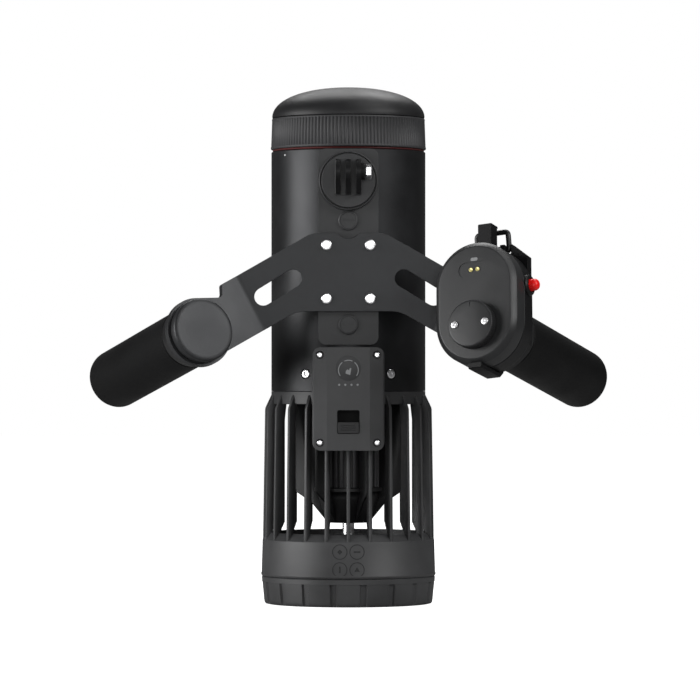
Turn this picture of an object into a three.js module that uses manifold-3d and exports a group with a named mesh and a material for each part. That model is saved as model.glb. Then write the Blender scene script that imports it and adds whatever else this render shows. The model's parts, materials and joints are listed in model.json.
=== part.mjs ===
// Underwater scooter with a two-handed handlebar and a removable hand controller.
// Millimetres, +Z up. The scooter stands on its tail ring with the nose up; the origin is the centre
// of the tail guard's hub face, and the handlebar is on the -Y side.
import * as THREE from "three";
import { mergeVertices } from "three/addons/utils/BufferGeometryUtils.js";
import Module from "manifold-3d";

const wasm = await Module();
wasm.setup();

// ---------------------------------------------------------------- driving dimensions
const GAP = 0.3; // between touching pieces
const FINE = 0.1; // between faces that lie flat on each other
const ROUND = 24; // facets round the large turned pieces

const BARREL_R = 45.4; // outer radius of the hull tube
const BORE_R = 41.2;
const SEAM_Z = 125; // hull tube meets the tail cage
const BARREL_TOP_Z = 265.8;
const NECK_R = 42.6; // threaded neck under the nose ring
const NECK_TOP_Z = 278.8;
const NOSE_RING_Z = 267.2; // lower edge of the nose ring
const DOME_Z = 285.7; // dome meets the nose ring
const TOP_Z = 303.8; // overall height

const TAIL_SCREW_ANGLES = [-57, -123, 57, 123]; // degrees from +X, two on each face
const TAIL_SCREW_Z = 135.2;
const SPIGOT_R = 40.9; // cage spigot inside the hull tube
const SPIGOT_BORE_R = 37.5;
const SPIGOT_TOP_Z = 142;
const COLLAR_Z = 117.4; // lower edge of the cage collar
const SHROUD_TOP_Z = 42;
const TAIL_RING_TOP_Z = 16.2;
const DUCT_R = 46;
const RIB_COUNT = 24;
const RIB_T = 1.9;
const RIB_INNER_R = 44; // above the propeller's duct
const NOTCH_COUNT = 18;

const POD_BOTTOM_Z = 47.5; // end of the tail cone
const CAN_BOTTOM_Z = 67;
const CAN_R = 17.4;
const VANE_R = 31.5;
const VANE_ANGLES = [53, 113, 173, 233, 293, 353]; // degrees from +X, about Z
const SHAFT_R = 3.5;
const HUB_Z = [20, 40.6]; // propeller hub

const RAIL_FACE_Y = -47.7;
const RAIL_HALF_W = 17.45;
const MOUNT_Z = 246.8; // centre of the round camera mount base
const MOUNT_FACE_Y = -53;
const MOUNT_BOLT_Z = 251.6; // bolt through the three fingers
const PLATE_T = 4;
const PLATE_FRONT_Y = RAIL_FACE_Y - FINE - PLATE_T;
const PLATE_Z = 194.1; // middle of the handlebar plate's four screws
const PLATE_SCREWS = [12.65, 15.5]; // half spacing across and up
const ARM_SLOPE = Math.PI / 6; // arms fall 30 degrees below the horizontal
const BEND_SLOPE = THREE.MathUtils.degToRad(27); // square to the bend line
const BEND_ANGLE = Math.PI / 6; // tabs lean forward 30 degrees
const BEND_X = 56.1; // middle of the bend line, on the front face
const BEND_Z = 176.4;
const BEND_R = 8; // inside radius
const FLANGE_AT = 39; // along the tab, from the bend to the grip axis
const FLANGE_R = 20;
const ARM_HALF_W = 17.5;
const GRIP_R = 17.4;
const GRIP_END = -123.8; // behind the tab's front face
const BOLT_R = 4;

const REMOTE_R = 25.25; // half width of the hand controller
const REMOTE_LOW = -0.7; // centres of its two round ends, above the grip axis
const REMOTE_HIGH = 20.5;
const REMOTE_BACK = 6.4;
const REMOTE_SPLIT = 18;
const REMOTE_FACE = 31;
const DIAL_AT = -4; // dial axis above the grip axis
const CONTACT_AT = 29.2;
const REMOTE_BUTTON_R = 3.5;
const REMOTE_BUTTON_AT = [21.5, 11.6]; // above the grip axis, and in front of the tab
const BAIL_PIVOT = [46, 3.4]; // above the grip axis, and in front of the tab
const BAIL_BAR = [57.1, 5.4];
const BAIL_HALF_W = 9.8;

const BOX_HALF_W = 20.75;
const BOX_Z = [91, 150.5];
const BOX_FACE_Y = -62;
const SWITCH_Z = [100.7, 114.3];
const GAUGE_Z = 138.4;

// ---------------------------------------------------------------- shape helpers
const rad = THREE.MathUtils.degToRad;

// A closed three.js geometry as a solid that can be joined and cut.
function solidOf(geometry) {
  const bare = geometry.index ? geometry.toNonIndexed() : geometry.clone();
  bare.deleteAttribute("normal");
  bare.deleteAttribute("uv");
  const merged = mergeVertices(bare, 1e-3);
  const index = merged.index.array;
  const kept = [];
  for (let i = 0; i < index.length; i += 3) {
    const [a, b, c] = [index[i], index[i + 1], index[i + 2]];
    if (a !== b && b !== c && a !== c) kept.push(a, b, c);
  }
  return new wasm.Manifold(
    new wasm.Mesh({
      numProp: 3,
      vertProperties: merged.attributes.position.array,
      triVerts: new Uint32Array(kept),
    }),
  );
}

function geometryOf(solid) {
  const mesh = solid.getMesh();
  return new THREE.BufferGeometry()
    .setAttribute("position", new THREE.BufferAttribute(new Float32Array(mesh.vertProperties), 3))
    .setIndex(new THREE.BufferAttribute(new Uint32Array(mesh.triVerts), 1));
}

function joined(first, ...others) {
  return geometryOf(others.reduce((sum, g) => sum.add(solidOf(g)), solidOf(first)));
}

function cut(body, ...tools) {
  return geometryOf(tools.reduce((left, g) => left.subtract(solidOf(g)), solidOf(body)));
}

function common(first, second) {
  return geometryOf(solidOf(first).intersect(solidOf(second)));
}

// A profile of [radius, z] points turned about Z. It closes on itself unless it ends on the axis.
function turned(profile, segments) {
  const onAxis = profile[0][0] === 0 && profile.at(-1)[0] === 0;
  const loop = onAxis ? profile : [...profile, profile[0]];
  const area = loop.reduce((sum, [r, z], i) => {
    const [nextR, nextZ] = loop[(i + 1) % loop.length];
    return sum + r * nextZ - nextR * z;
  }, 0);
  const points = loop.map(([r, z]) => new THREE.Vector2(r, z));
  if (area < 0) points.reverse();
  return new THREE.LatheGeometry(points, segments).rotateX(Math.PI / 2);
}

const rod = (r, low, high, segments = 20) =>
  turned([[0, low], [r, low], [r, high], [0, high]], segments);
const tube = (inner, outer, low, high, segments = 32) =>
  turned([[inner, low], [outer, low], [outer, high], [inner, high]], segments);
const box = (x, y, z) =>
  new THREE.BoxGeometry(x[1] - x[0], y[1] - y[0], z[1] - z[0])
    .translate((x[0] + x[1]) / 2, (y[0] + y[1]) / 2, (z[0] + z[1]) / 2);

const extruded = (shape, low, high, curveSegments = 6) =>
  new THREE.ExtrudeGeometry(shape, { depth: high - low, bevelEnabled: false, curveSegments })
    .translate(0, 0, low);

// An outline through points [x, y, radius], each corner rounded by its radius.
function outline(points) {
  const shape = new THREE.Shape();
  const corners = points.map(([x, y, r = 0], i) => {
    const here = new THREE.Vector2(x, y);
    const back = new THREE.Vector2(...points.at(i - 1)).sub(here).normalize();
    const ahead = new THREE.Vector2(...points[(i + 1) % points.length]).sub(here).normalize();
    const reach = r === 0 ? 0 : r / Math.tan(back.angleTo(ahead) / 2);
    const from = here.clone().addScaledVector(back, reach);
    const to = here.clone().addScaledVector(ahead, reach);
    return { here, from, to };
  });
  shape.moveTo(corners[0].to.x, corners[0].to.y);
  for (const { here, from, to } of [...corners.slice(1), corners[0]]) {
    shape.lineTo(from.x, from.y);
    if (from.distanceTo(to) > 0) shape.quadraticCurveTo(here.x, here.y, to.x, to.y);
  }
  return shape;
}

const rounded = (halfW, low, high, r) =>
  outline([[-halfW, low, r], [halfW, low, r], [halfW, high, r], [-halfW, high, r]]);

// Two equal circles joined by straight sides.
function obround(shape, [x1, y1], [x2, y2], r) {
  const a = Math.atan2(y2 - y1, x2 - x1);
  shape.absarc(x2, y2, r, a - Math.PI / 2, a + Math.PI / 2);
  shape.absarc(x1, y1, r, a + Math.PI / 2, a + 1.5 * Math.PI);
  shape.closePath();
  return shape;
}

// A shape drawn in X and Z, given depth along Y.
const upright = (shape, back, front, curveSegments = 6) =>
  extruded(shape, 0, back - front, curveSegments).rotateX(Math.PI / 2).translate(0, back, 0);
// A shape drawn in Y and Z, given width along X.
const sideways = (shape, left, right, curveSegments = 6) =>
  extruded(shape, left, right, curveSegments).rotateX(Math.PI / 2).rotateZ(Math.PI / 2);
const uprightRod = (r, x, z, back, front, segments = 20) =>
  rod(r, 0, back - front, segments).rotateX(Math.PI / 2).translate(x, back, z);

// The same geometry on the other side of the YZ plane, its faces turned to point out again.
function mirrored(geometry) {
  const flipped = geometry.index ? geometry.toNonIndexed() : geometry.clone();
  flipped.scale(-1, 1, 1);
  const p = flipped.attributes.position.array;
  for (let i = 0; i < p.length; i += 9) {
    for (let k = 3; k < 6; k++) [p[i + k], p[i + 3 + k]] = [p[i + 3 + k], p[i + k]];
  }
  return flipped;
}

// A plate in the radial plane at an angle about Z, outlined by [radius, z] points.
const radialPlate = (points, thickness, angle) =>
  extruded(outline(points), -thickness / 2, thickness / 2).rotateX(Math.PI / 2).rotateZ(angle);

// A blade along +X whose chord turns from the root pitch to the tip pitch, wrapped round the Z axis.
function blade(root, tip, rootChord, tipChord, rootPitch, tipPitch, thickness, sweep) {
  const geometry = new THREE.BoxGeometry(tip - root, 1, 1, 5, 4, 1);
  const p = geometry.attributes.position;
  for (let i = 0; i < p.count; i++) {
    const t = Math.max(0, p.getX(i) / (tip - root) + 0.5);
    const chord = rootChord + (tipChord - rootChord) * t ** 0.8;
    const pitch = rootPitch + (tipPitch - rootPitch) * t;
    const camber = (0.25 - p.getY(i) ** 2) * 0.12 * chord;
    const along = p.getY(i) * chord - sweep * t * t;
    const across = p.getZ(i) * thickness * (1.15 - 2.2 * p.getY(i) ** 2) * (1 - 0.5 * t) + camber;
    const radius = root + (tip - root) * t;
    const turn = (along * Math.cos(pitch) - across * Math.sin(pitch)) / radius;
    const z = along * Math.sin(pitch) + across * Math.cos(pitch);
    p.setXYZ(i, radius * Math.cos(turn), radius * Math.sin(turn), z);
  }
  return geometry;
}

// ---------------------------------------------------------------- materials
const finish = (color, roughness, metalness = 0) =>
  new THREE.MeshStandardMaterial({ color, roughness, metalness });
const MATERIAL = {
  hull: finish(0x2c2d2f, 0.42, 0.6),
  nose: finish(0x1f2022, 0.35),
  plastic: finish(0x323335, 0.55),
  blackPlastic: finish(0x161617, 0.5),
  plate: finish(0x2f3032, 0.5, 0.7),
  rubber: finish(0x0e0e0f, 0.8),
  steel: finish(0xd8d9da, 0.25, 1),
  gold: finish(0xd9c067, 0.3, 1),
  red: finish(0xe3120b, 0.4),
  seal: finish(0x9c1b16, 0.6),
  light: finish(0xb9bcc0, 0.4),
  copper: finish(0xa65a2a, 0.4, 0.8),
  magnet: finish(0x6d7074, 0.4, 0.9),
  battery: finish(0x24486b, 0.5),
  board: finish(0x1f5b35, 0.6),
};

function add(parent, name, geometry, material) {
  const mesh = new THREE.Mesh(geometry, MATERIAL[material]);
  mesh.name = name;
  parent.add(mesh);
  return mesh;
}

// A socket screw along Z: its head rests on z = 0 and its shank goes down.
function screw(headR, headH, shankR, length) {
  const body = turned(
    [[0, -length], [shankR, -length], [shankR, 0], [headR, 0], [headR, headH * 0.5],
      [headR * 0.75, headH], [0, headH]],
    8,
  );
  return cut(body, rod(headR * 0.45, headH * 0.4, headH + 1, 6));
}

// ---------------------------------------------------------------- hull
const BATTERY_Z = [180, 258];
const BATTERY_R = 40.6;
const LEDGE_R = 36;
const BOARD_Z = 160;

function hullTube() {
  const tubeBody = turned(
    [[BARREL_R, SEAM_Z], [BARREL_R, BARREL_TOP_Z], [NECK_R, BARREL_TOP_Z], [NECK_R, NECK_TOP_Z],
      [BORE_R, NECK_TOP_Z], [BORE_R, BATTERY_Z[0] - GAP], [LEDGE_R, BATTERY_Z[0] - GAP],
      [LEDGE_R, BATTERY_Z[0] - 3], [BORE_R, BATTERY_Z[0] - 8], [BORE_R, SEAM_Z]],
    ROUND,
  );
  const holes = TAIL_SCREW_ANGLES.flatMap((angle) =>
    [rod(1.9, 30, 60, 8), rod(3.1, 44, 60, 10)].map((hole) =>
      hole.rotateY(Math.PI / 2).rotateZ(rad(angle)).translate(0, 0, TAIL_SCREW_Z)),
  );
  const sockets = plateScrewPlaces().map(([x, z]) => uprightRod(2.2, x, z, -41, -60, 8));
  return cut(tubeBody, ...holes, ...sockets);
}

function battery(parent) {
  const [low, high] = BATTERY_Z;
  const caseProfile = [[0, low], [BATTERY_R, low], [BATTERY_R, high], [0, high]];
  add(parent, "battery_pack", turned(caseProfile, 36), "battery");
  const lid = rod(BATTERY_R, high + FINE, high + 4, 36);
  const handle = rounded(18, high + 3.5, high + 15, 4);
  handle.holes.push(rounded(14, high + 5.5, high + 11.5, 2.5));
  add(parent, "battery_lid", joined(lid, upright(handle, 2.5, -2.5, 3)), "blackPlastic");
}

// Motor electronics on four posts above the motor lid, with pins up to the battery.
function driverBoard() {
  const parts = [rod(35, BOARD_Z, BOARD_Z + 1.6, 32)];
  for (const x of [-20, 0, 20]) parts.push(box([x - 5, x + 5], [-20, -8], [BOARD_Z + 1, BOARD_Z + 6]));
  for (const x of [-12, 12]) parts.push(rod(4.5, BOARD_Z + 1, BOARD_Z + 16, 12).translate(x, 12, 0));
  for (const x of [-6, 6]) parts.push(rod(1.6, BOARD_Z + 1, BATTERY_Z[0] - GAP, 8).translate(x, 0, 0));
  for (const angle of [45, 135, 225, 315]) {
    parts.push(rod(2.5, 134.3, BOARD_Z + 1, 8).translate(28, 0, 0).rotateZ(rad(angle)));
  }
  return joined(...parts);
}

// ---------------------------------------------------------------- nose
const NOSE_FLANGE_Z = [279.2, 282.4];

// The ring turns about the neck, so its bore clears the corners of both as they pass.
function noseRing() {
  const lip = NOSE_FLANGE_Z[1] + GAP;
  return turned(
    [[45.75, NOSE_RING_Z], [45.1, DOME_Z - GAP], [40.7, DOME_Z - GAP], [40.7, lip],
      [NECK_R + 0.7, lip], [NECK_R + 0.7, NOSE_RING_Z]],
    ROUND,
  );
}

// The dome's shoulder is a superellipse, fuller than a ball; its flange is held under the ring's lip.
function noseDome() {
  const [low, high] = NOSE_FLANGE_Z;
  const steps = 6;
  const outer = [];
  for (let i = 0; i < steps; i++) {
    const t = (i / steps) * (Math.PI / 2);
    outer.push([45 * Math.cos(t) ** 0.92, DOME_Z + (TOP_Z - DOME_Z) * Math.sin(t) ** 0.92]);
  }
  return turned(
    [[0, TOP_Z - 3.5], [26, TOP_Z - 7], [37.2, DOME_Z + 2], [37.2, low], [42.3, low], [42.3, high],
      [40.1, high], [40.1, DOME_Z], ...outer, [0, TOP_Z]],
    ROUND,
  );
}

const noseSeal = () =>
  turned([[42.9, 266], [44.4, 266], [44.8, 266.5], [44.4, 267], [42.9, 267]], ROUND);

// ---------------------------------------------------------------- rail and camera mount
function rail() {
  const body = upright(rounded(RAIL_HALF_W, 152, BARREL_TOP_Z - GAP, 4.5), -38, RAIL_FACE_Y);
  const holes = plateScrewPlaces().map(([x, z]) => uprightRod(2.2, x, z, -30, -60, 8));
  return cut(body, rod(BARREL_R + GAP, 140, 280, ROUND), ...holes);
}

// A round base with three fingers that take a bolt along X.
function cameraMount() {
  const back = RAIL_FACE_Y - FINE;
  const height = back - MOUNT_FACE_Y;
  const base = turned([[0, 0], [17.1, 0], [17.1, height - 1], [16.2, height], [0, height]], 24)
    .rotateX(Math.PI / 2)
    .translate(0, back, MOUNT_Z);
  const foot = MOUNT_FACE_Y + 1;
  const finger = outline(
    [[foot, 238.8], [foot, 258.8], [MOUNT_FACE_Y - 9, 258.8, 3], [MOUNT_FACE_Y - 15, 256, 4],
      [MOUNT_FACE_Y - 15, 247, 4], [MOUNT_FACE_Y - 7, 238.8, 2]],
  );
  finger.holes.push(new THREE.Path().absarc(MOUNT_FACE_Y - 8, MOUNT_BOLT_Z, 2.6, 0, 2 * Math.PI));
  const fingers = [-6, 0, 6].map((x) => sideways(finger, x - 1.5, x + 1.5, 5));
  const nutSeat = rod(5, 7.4, 9.7, 16).rotateY(Math.PI / 2).translate(0, MOUNT_FACE_Y - 8, MOUNT_BOLT_Z);
  const bolt = rod(2.6, 6, 10, 16).rotateY(Math.PI / 2).translate(0, MOUNT_FACE_Y - 8, MOUNT_BOLT_Z);
  return cut(joined(base, ...fingers, nutSeat), bolt);
}

const mountNut = () =>
  cut(rod(4.4, 10, 13.3, 6), rod(2.6, 9, 14, 16))
    .rotateY(Math.PI / 2)
    .translate(0, MOUNT_FACE_Y - 8, MOUNT_BOLT_Z);

// ---------------------------------------------------------------- handlebar plate
function plateScrewPlaces() {
  const [across, up] = PLATE_SCREWS;
  return [[-across, PLATE_Z + up], [across, PLATE_Z + up], [-across, PLATE_Z - up], [across, PLATE_Z - up]];
}

// Middle plate and both arms as they lie flat, past the bend lines.
function flatPlate() {
  const fall = Math.tan(ARM_SLOPE);
  const end = 90;
  const top = PLATE_Z + 22.5;
  const low = PLATE_Z - 22.8;
  const half = [[-29.7, low, 20], [29.7, low, 20], [end, low - fall * (end - 29.7)],
    [end, top - fall * (end - 21)], [21, top, 17], [-21, top, 17],
    [-end, top - fall * (end - 21)], [-end, low - fall * (end - 29.7)]];
  const body = upright(outline(half), PLATE_FRONT_Y + PLATE_T, PLATE_FRONT_Y);
  const slots = [-1, 1].map((side) => {
    const slot = obround(new THREE.Shape(), [side * 32, 190.3], [side * 49.2, 179.8], 5.2);
    return upright(slot, -40, -60, 5);
  });
  const notch = uprightRod(7.8, 0, 221, -40, -60, 20);
  const holes = plateScrewPlaces().map(([x, z]) => uprightRod(2.2, x, z, -40, -60, 8));
  return cut(body, ...slots, notch, ...holes);
}

// The arm's outline beyond the bend, along x and across y, ending in the round flange.
function tabOutline() {
  const chamferEnd = [14.8, 10.7];
  const [dx, dy] = [chamferEnd[0] - FLANGE_AT, chamferEnd[1]];
  const away = Math.hypot(dx, dy);
  const touch = Math.atan2(dy, dx) - Math.acos(FLANGE_R / away);
  const shape = new THREE.Shape();
  const low = Math.PI + Math.asin(ARM_HALF_W / FLANGE_R);
  shape.moveTo(0, -ARM_HALF_W);
  shape.lineTo(FLANGE_AT + FLANGE_R * Math.cos(low), -ARM_HALF_W);
  shape.absarc(FLANGE_AT, 0, FLANGE_R, low, touch + 2 * Math.PI);
  shape.lineTo(...chamferEnd);
  shape.lineTo(10.9, ARM_HALF_W);
  shape.lineTo(0, ARM_HALF_W);
  shape.closePath();
  return shape;
}

// Origin on the bend line of the plate's front face: x along the tab, y along the bend line, z out.
function tabFrame() {
  const along = new THREE.Vector3(
    Math.cos(BEND_SLOPE) * Math.cos(BEND_ANGLE),
    -Math.sin(BEND_ANGLE),
    -Math.sin(BEND_SLOPE) * Math.cos(BEND_ANGLE),
  );
  const out = new THREE.Vector3(
    -Math.cos(BEND_SLOPE) * Math.sin(BEND_ANGLE),
    -Math.cos(BEND_ANGLE),
    Math.sin(BEND_SLOPE) * Math.sin(BEND_ANGLE),
  );
  const up = new THREE.Vector3().crossVectors(out, along);
  return new THREE.Matrix4().makeBasis(along, up, out).setPosition(BEND_X, PLATE_FRONT_Y, BEND_Z);
}

// The flange centre on a tab's front face: z out of the tab, x level with the row of grips.
function flangeFrame(side) {
  const skew = ARM_SLOPE - BEND_SLOPE;
  const frame = tabFrame();
  const centre = new THREE.Vector3(FLANGE_AT * Math.cos(skew), -FLANGE_AT * Math.sin(skew), 0)
    .applyMatrix4(frame);
  const out = new THREE.Vector3().setFromMatrixColumn(frame, 2);
  centre.x *= side;
  out.x *= side;
  const up = new THREE.Vector3(0, out.z, -out.y).normalize();
  const right = new THREE.Vector3().crossVectors(up, out);
  return new THREE.Matrix4().makeBasis(right, up, out).setPosition(centre);
}

// Origin on the bend line of the plate's front face: x outwards, y back through the plate, z up the line.
function bendFrame() {
  const outwards = new THREE.Vector3(Math.cos(BEND_SLOPE), 0, -Math.sin(BEND_SLOPE));
  const back = new THREE.Vector3(0, 1, 0);
  const up = new THREE.Vector3().crossVectors(outwards, back);
  return new THREE.Matrix4().makeBasis(outwards, back, up).setPosition(BEND_X, PLATE_FRONT_Y, BEND_Z);
}

function handlebarPlate() {
  const skew = ARM_SLOPE - BEND_SLOPE;
  const reach = BEND_R * Math.tan(BEND_ANGLE / 2);
  const overlap = 0.05;
  const beyond = box([overlap - reach, 90], [-20, 20], [-80, 80]).applyMatrix4(bendFrame());
  const flat = cut(flatPlate(), beyond, mirrored(beyond));

  // The bend is a sector of a ring about a line in front of the plate.
  const sector = new THREE.Shape();
  sector.absarc(-reach, -BEND_R, BEND_R + PLATE_T, Math.PI / 2 - BEND_ANGLE, Math.PI / 2, false);
  sector.absarc(-reach, -BEND_R, BEND_R, Math.PI / 2, Math.PI / 2 - BEND_ANGLE, true);
  sector.closePath();
  const bend = extruded(sector, -ARM_HALF_W, ARM_HALF_W, 6).applyMatrix4(bendFrame());

  const tabEnd = extruded(tabOutline(), -PLATE_T, 0, 12).rotateZ(-skew);
  const kept = box([reach - overlap, 90], [-60, 60], [-10, 10]);
  const hole = rod(BOLT_R + GAP, -10, 10, 20).translate(FLANGE_AT, 0, 0).rotateZ(-skew);
  const tab = cut(common(tabEnd, kept), hole).applyMatrix4(tabFrame());
  return joined(flat, bend, tab, mirrored(bend), mirrored(tab));
}

// ---------------------------------------------------------------- grips, on the flange frame
const SLEEVE_TOP = -PLATE_T - GAP;

const gripCore = () =>
  cut(rod(11, GRIP_END + 6, SLEEVE_TOP, 24), rod(BOLT_R + GAP, -40, 0, 16));

const gripSleeve = () =>
  turned(
    [[0, GRIP_END], [12.9, GRIP_END], [16, GRIP_END + 1.3], [GRIP_R, GRIP_END + 4.5],
      [GRIP_R, SLEEVE_TOP], [11.3, SLEEVE_TOP], [11.3, GRIP_END + 5.7], [0, GRIP_END + 5.7]],
    24,
  );

const gripBolt = (headZ) => joined(rod(6.5, headZ, headZ + 3.6, 6), rod(BOLT_R, -34, headZ + 1, 16));

const gripCap = () =>
  turned([[0, 6], [17.3, 6], [18.3, 5], [18.3, GAP], [8, GAP], [8, 4.3], [0, 4.3]], 28);

// ---------------------------------------------------------------- hand controller, on the flange frame
function remoteOutline(inset) {
  return obround(new THREE.Shape(), [0, REMOTE_LOW], [0, REMOTE_HIGH], REMOTE_R - inset);
}

// Plate behind the controller with a tower for the bail and a claw under the controller's end.
function cradle() {
  const shape = new THREE.Shape();
  shape.absarc(0, 0, 24.5, Math.PI + 0.455, 2 * Math.PI - 0.455);
  for (const [x, y] of [[22, 41], [12, 49.5], [-12, 49.5], [-22, 41]]) shape.lineTo(x, y);
  shape.closePath();
  const plate = extruded(shape, GAP, REMOTE_BACK - GAP, 10);
  const claw = sideways(
    outline([[-20, GAP], [-20, 5], [-26.3, 6], [-26.3, 29], [-25, 29.8], [-25.4, 31.4], [-28.8, 31],
      [-28.8, 6], [-25, GAP]]),
    -4,
    4,
  );
  const recess = rod(8, 2.2, 10, 24);
  const hole = rod(BOLT_R + GAP, -1, 10, 20);
  const [pivotUp, pivotOut] = BAIL_PIVOT;
  const pivot = rod(1.75, -30, 30, 12).rotateY(Math.PI / 2).translate(0, pivotUp, pivotOut);
  const inner = box([-5, 5], [pivotUp - 5, pivotUp + 10], [3, 10]);
  const legRoom = [-BAIL_HALF_W, BAIL_HALF_W]
    .map((x) => box([x - 2.1, x + 2.1], [pivotUp - 2.4, 60], [-1, 10]));
  return cut(joined(plate, claw), recess, hole, pivot, inner, ...legRoom);
}

const remoteButton = () =>
  turned([[0, 22.4], [3.5, 22.4], [3.5, 29], [2.9, 30.8], [1.6, 31.6], [0, 31.8]], 20)
    .rotateY(Math.PI / 2)
    .translate(0, REMOTE_BUTTON_AT[0], REMOTE_BUTTON_AT[1]);

function remoteBoard() {
  const plate = extruded(remoteOutline(6), 12, 13.6, 10);
  const cell = box([-12, 12], [-12, 8], [13, 19]);
  return joined(plate, cell);
}

// Rear half of the controller's case, with the lug that the bail hooks behind.
function remoteRearShell() {
  const shell = extruded(remoteOutline(0), REMOTE_BACK, REMOTE_SPLIT - GAP / 2, 8);
  const room = extruded(remoteOutline(2.2), REMOTE_BACK + 2.2, REMOTE_SPLIT + 1, 8);
  const lug = sideways(
    outline([[44, 7.6], [58.9, 7.6], [59.2, 6.5], [60.4, 6.9], [60.4, 16.6], [44, 16.6]]),
    -4.1,
    4.1,
  );
  const buttonHole = rod(REMOTE_BUTTON_R + FINE, 15, 30, 16)
    .rotateY(Math.PI / 2)
    .translate(0, REMOTE_BUTTON_AT[0], REMOTE_BUTTON_AT[1]);
  return cut(joined(shell, cut(lug, room)), room, buttonHole);
}

// Front half, with a wide chamfer round its face and a well for the dial's stem.
function remoteFrontShell() {
  const wide = extruded(remoteOutline(0), REMOTE_SPLIT + GAP / 2, REMOTE_FACE - 3, 8);
  const face = new THREE.ExtrudeGeometry(remoteOutline(3), {
    depth: 4, bevelEnabled: true, bevelThickness: 3, bevelSize: 3, bevelSegments: 1, curveSegments: 8,
  }).translate(0, 0, REMOTE_FACE - 7);
  const room = extruded(remoteOutline(2.5), REMOTE_SPLIT - 1, REMOTE_FACE - 4, 8);
  const stemHole = rod(3.3, 20, 40, 20).translate(0, DIAL_AT, 0);
  const pins = [-1, 1].map((side) => rod(1.3, 20, 40, 12).translate(side * 2.05, CONTACT_AT, 0));
  const bevelled = cut(face, box([-40, 40], [-60, 60], [20, REMOTE_FACE - 4]));
  return cut(joined(wide, bevelled), room, stemHole, ...pins);
}

function dial() {
  const knob = turned(
    [[0, REMOTE_FACE + GAP], [13.75, REMOTE_FACE + GAP], [13.75, REMOTE_FACE + 6],
      [13.2, REMOTE_FACE + 6.5], [0, REMOTE_FACE + 6.5]],
    28,
  );
  const stem = rod(3, REMOTE_FACE - 8, REMOTE_FACE + 1, 20);
  const holes = [-1, 1].map((side) =>
    rod(1.4, REMOTE_FACE + 1.5, REMOTE_FACE + 9, 12).translate(side * 9.4, 0, 0));
  return cut(joined(knob, stem), ...holes).translate(0, DIAL_AT, 0);
}

// Wire loop: two legs, a bar between them and two pins into the cradle's tower.
function bail() {
  const wire = 1.6;
  const [pivotUp, pivotOut] = BAIL_PIVOT;
  const [barUp, barOut] = BAIL_BAR;
  const corner = new THREE.Vector3(BAIL_HALF_W, barUp, barOut);
  const knee = new THREE.Vector3(BAIL_HALF_W, pivotUp, pivotOut);
  const points = [[-1, knee], [-1, corner], [1, corner], [1, knee]]
    .map(([side, p]) => new THREE.Vector3(p.x * side, p.y, p.z));
  const rods = points.slice(1).map((to, i) => {
    const from = points[i];
    const length = from.distanceTo(to);
    const turn = new THREE.Quaternion()
      .setFromUnitVectors(new THREE.Vector3(0, 0, 1), to.clone().sub(from).normalize());
    return rod(wire, 0, length, 8).applyQuaternion(turn).translate(from.x, from.y, from.z);
  });
  const balls = points.map((p) => new THREE.SphereGeometry(wire, 8, 6).translate(p.x, p.y, p.z));
  const pins = [-1, 1].map((side) =>
    rod(1.4, 5.6, BAIL_HALF_W, 12).rotateY((side * Math.PI) / 2).translate(0, pivotUp, pivotOut));
  return joined(...rods, ...balls, ...pins);
}

// ---------------------------------------------------------------- display box
function displayHousing() {
  const [low, high] = BOX_Z;
  const facet = BOX_FACE_Y + 2.6;
  const plan = outline(
    [[-BOX_HALF_W, -38], [-BOX_HALF_W, facet, 1], [-12.35, BOX_FACE_Y], [12.35, BOX_FACE_Y],
      [BOX_HALF_W, facet, 1], [BOX_HALF_W, -38]],
  );
  const front = upright(rounded(BOX_HALF_W, low, high, 4.7), -30, -70, 4);
  const block = common(extruded(plan, low, high), front);
  const room = [box([-14, 14], [-57.4, -40], [127, 147]), box([-14, 14], [-57.4, -53.4], [96, 128])];
  const seats = displayScrewPlaces().flatMap(([x, z]) =>
    [uprightRod(2.1, x, z, BOX_FACE_Y + 3.6, -70, 12), uprightRod(1.2, x, z, BOX_FACE_Y + 9, -70, 8)]);
  const switchWell = upright(rounded(6.45, ...SWITCH_Z, 1), BOX_FACE_Y + 3, -70, 3);
  const lensWell = uprightRod(7.6, 0, GAUGE_Z, BOX_FACE_Y + 0.9, -70, 32);
  return cut(block, rod(BARREL_R + GAP, 80, 160, ROUND), rod(50.9, 80, SEAM_Z + 0.5, ROUND),
    ...room, ...seats, switchWell, lensWell);
}

const displayScrewPlaces = () =>
  [[-16.4, 146.1], [16.4, 146.1], [-16.4, 95.5], [16.4, 95.5]];

function slider() {
  const [low] = SWITCH_Z;
  const pad = upright(rounded(6.1, low + GAP, low + 6.6, 0.6), BOX_FACE_Y + 2.7, BOX_FACE_Y - 0.7, 3);
  return cut(pad, ...[2.2, 3.6, 5].map((z) =>
    box([-4, 4], [BOX_FACE_Y - 2, BOX_FACE_Y - 0.3], [low + z - 0.25, low + z + 0.25])));
}

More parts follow.
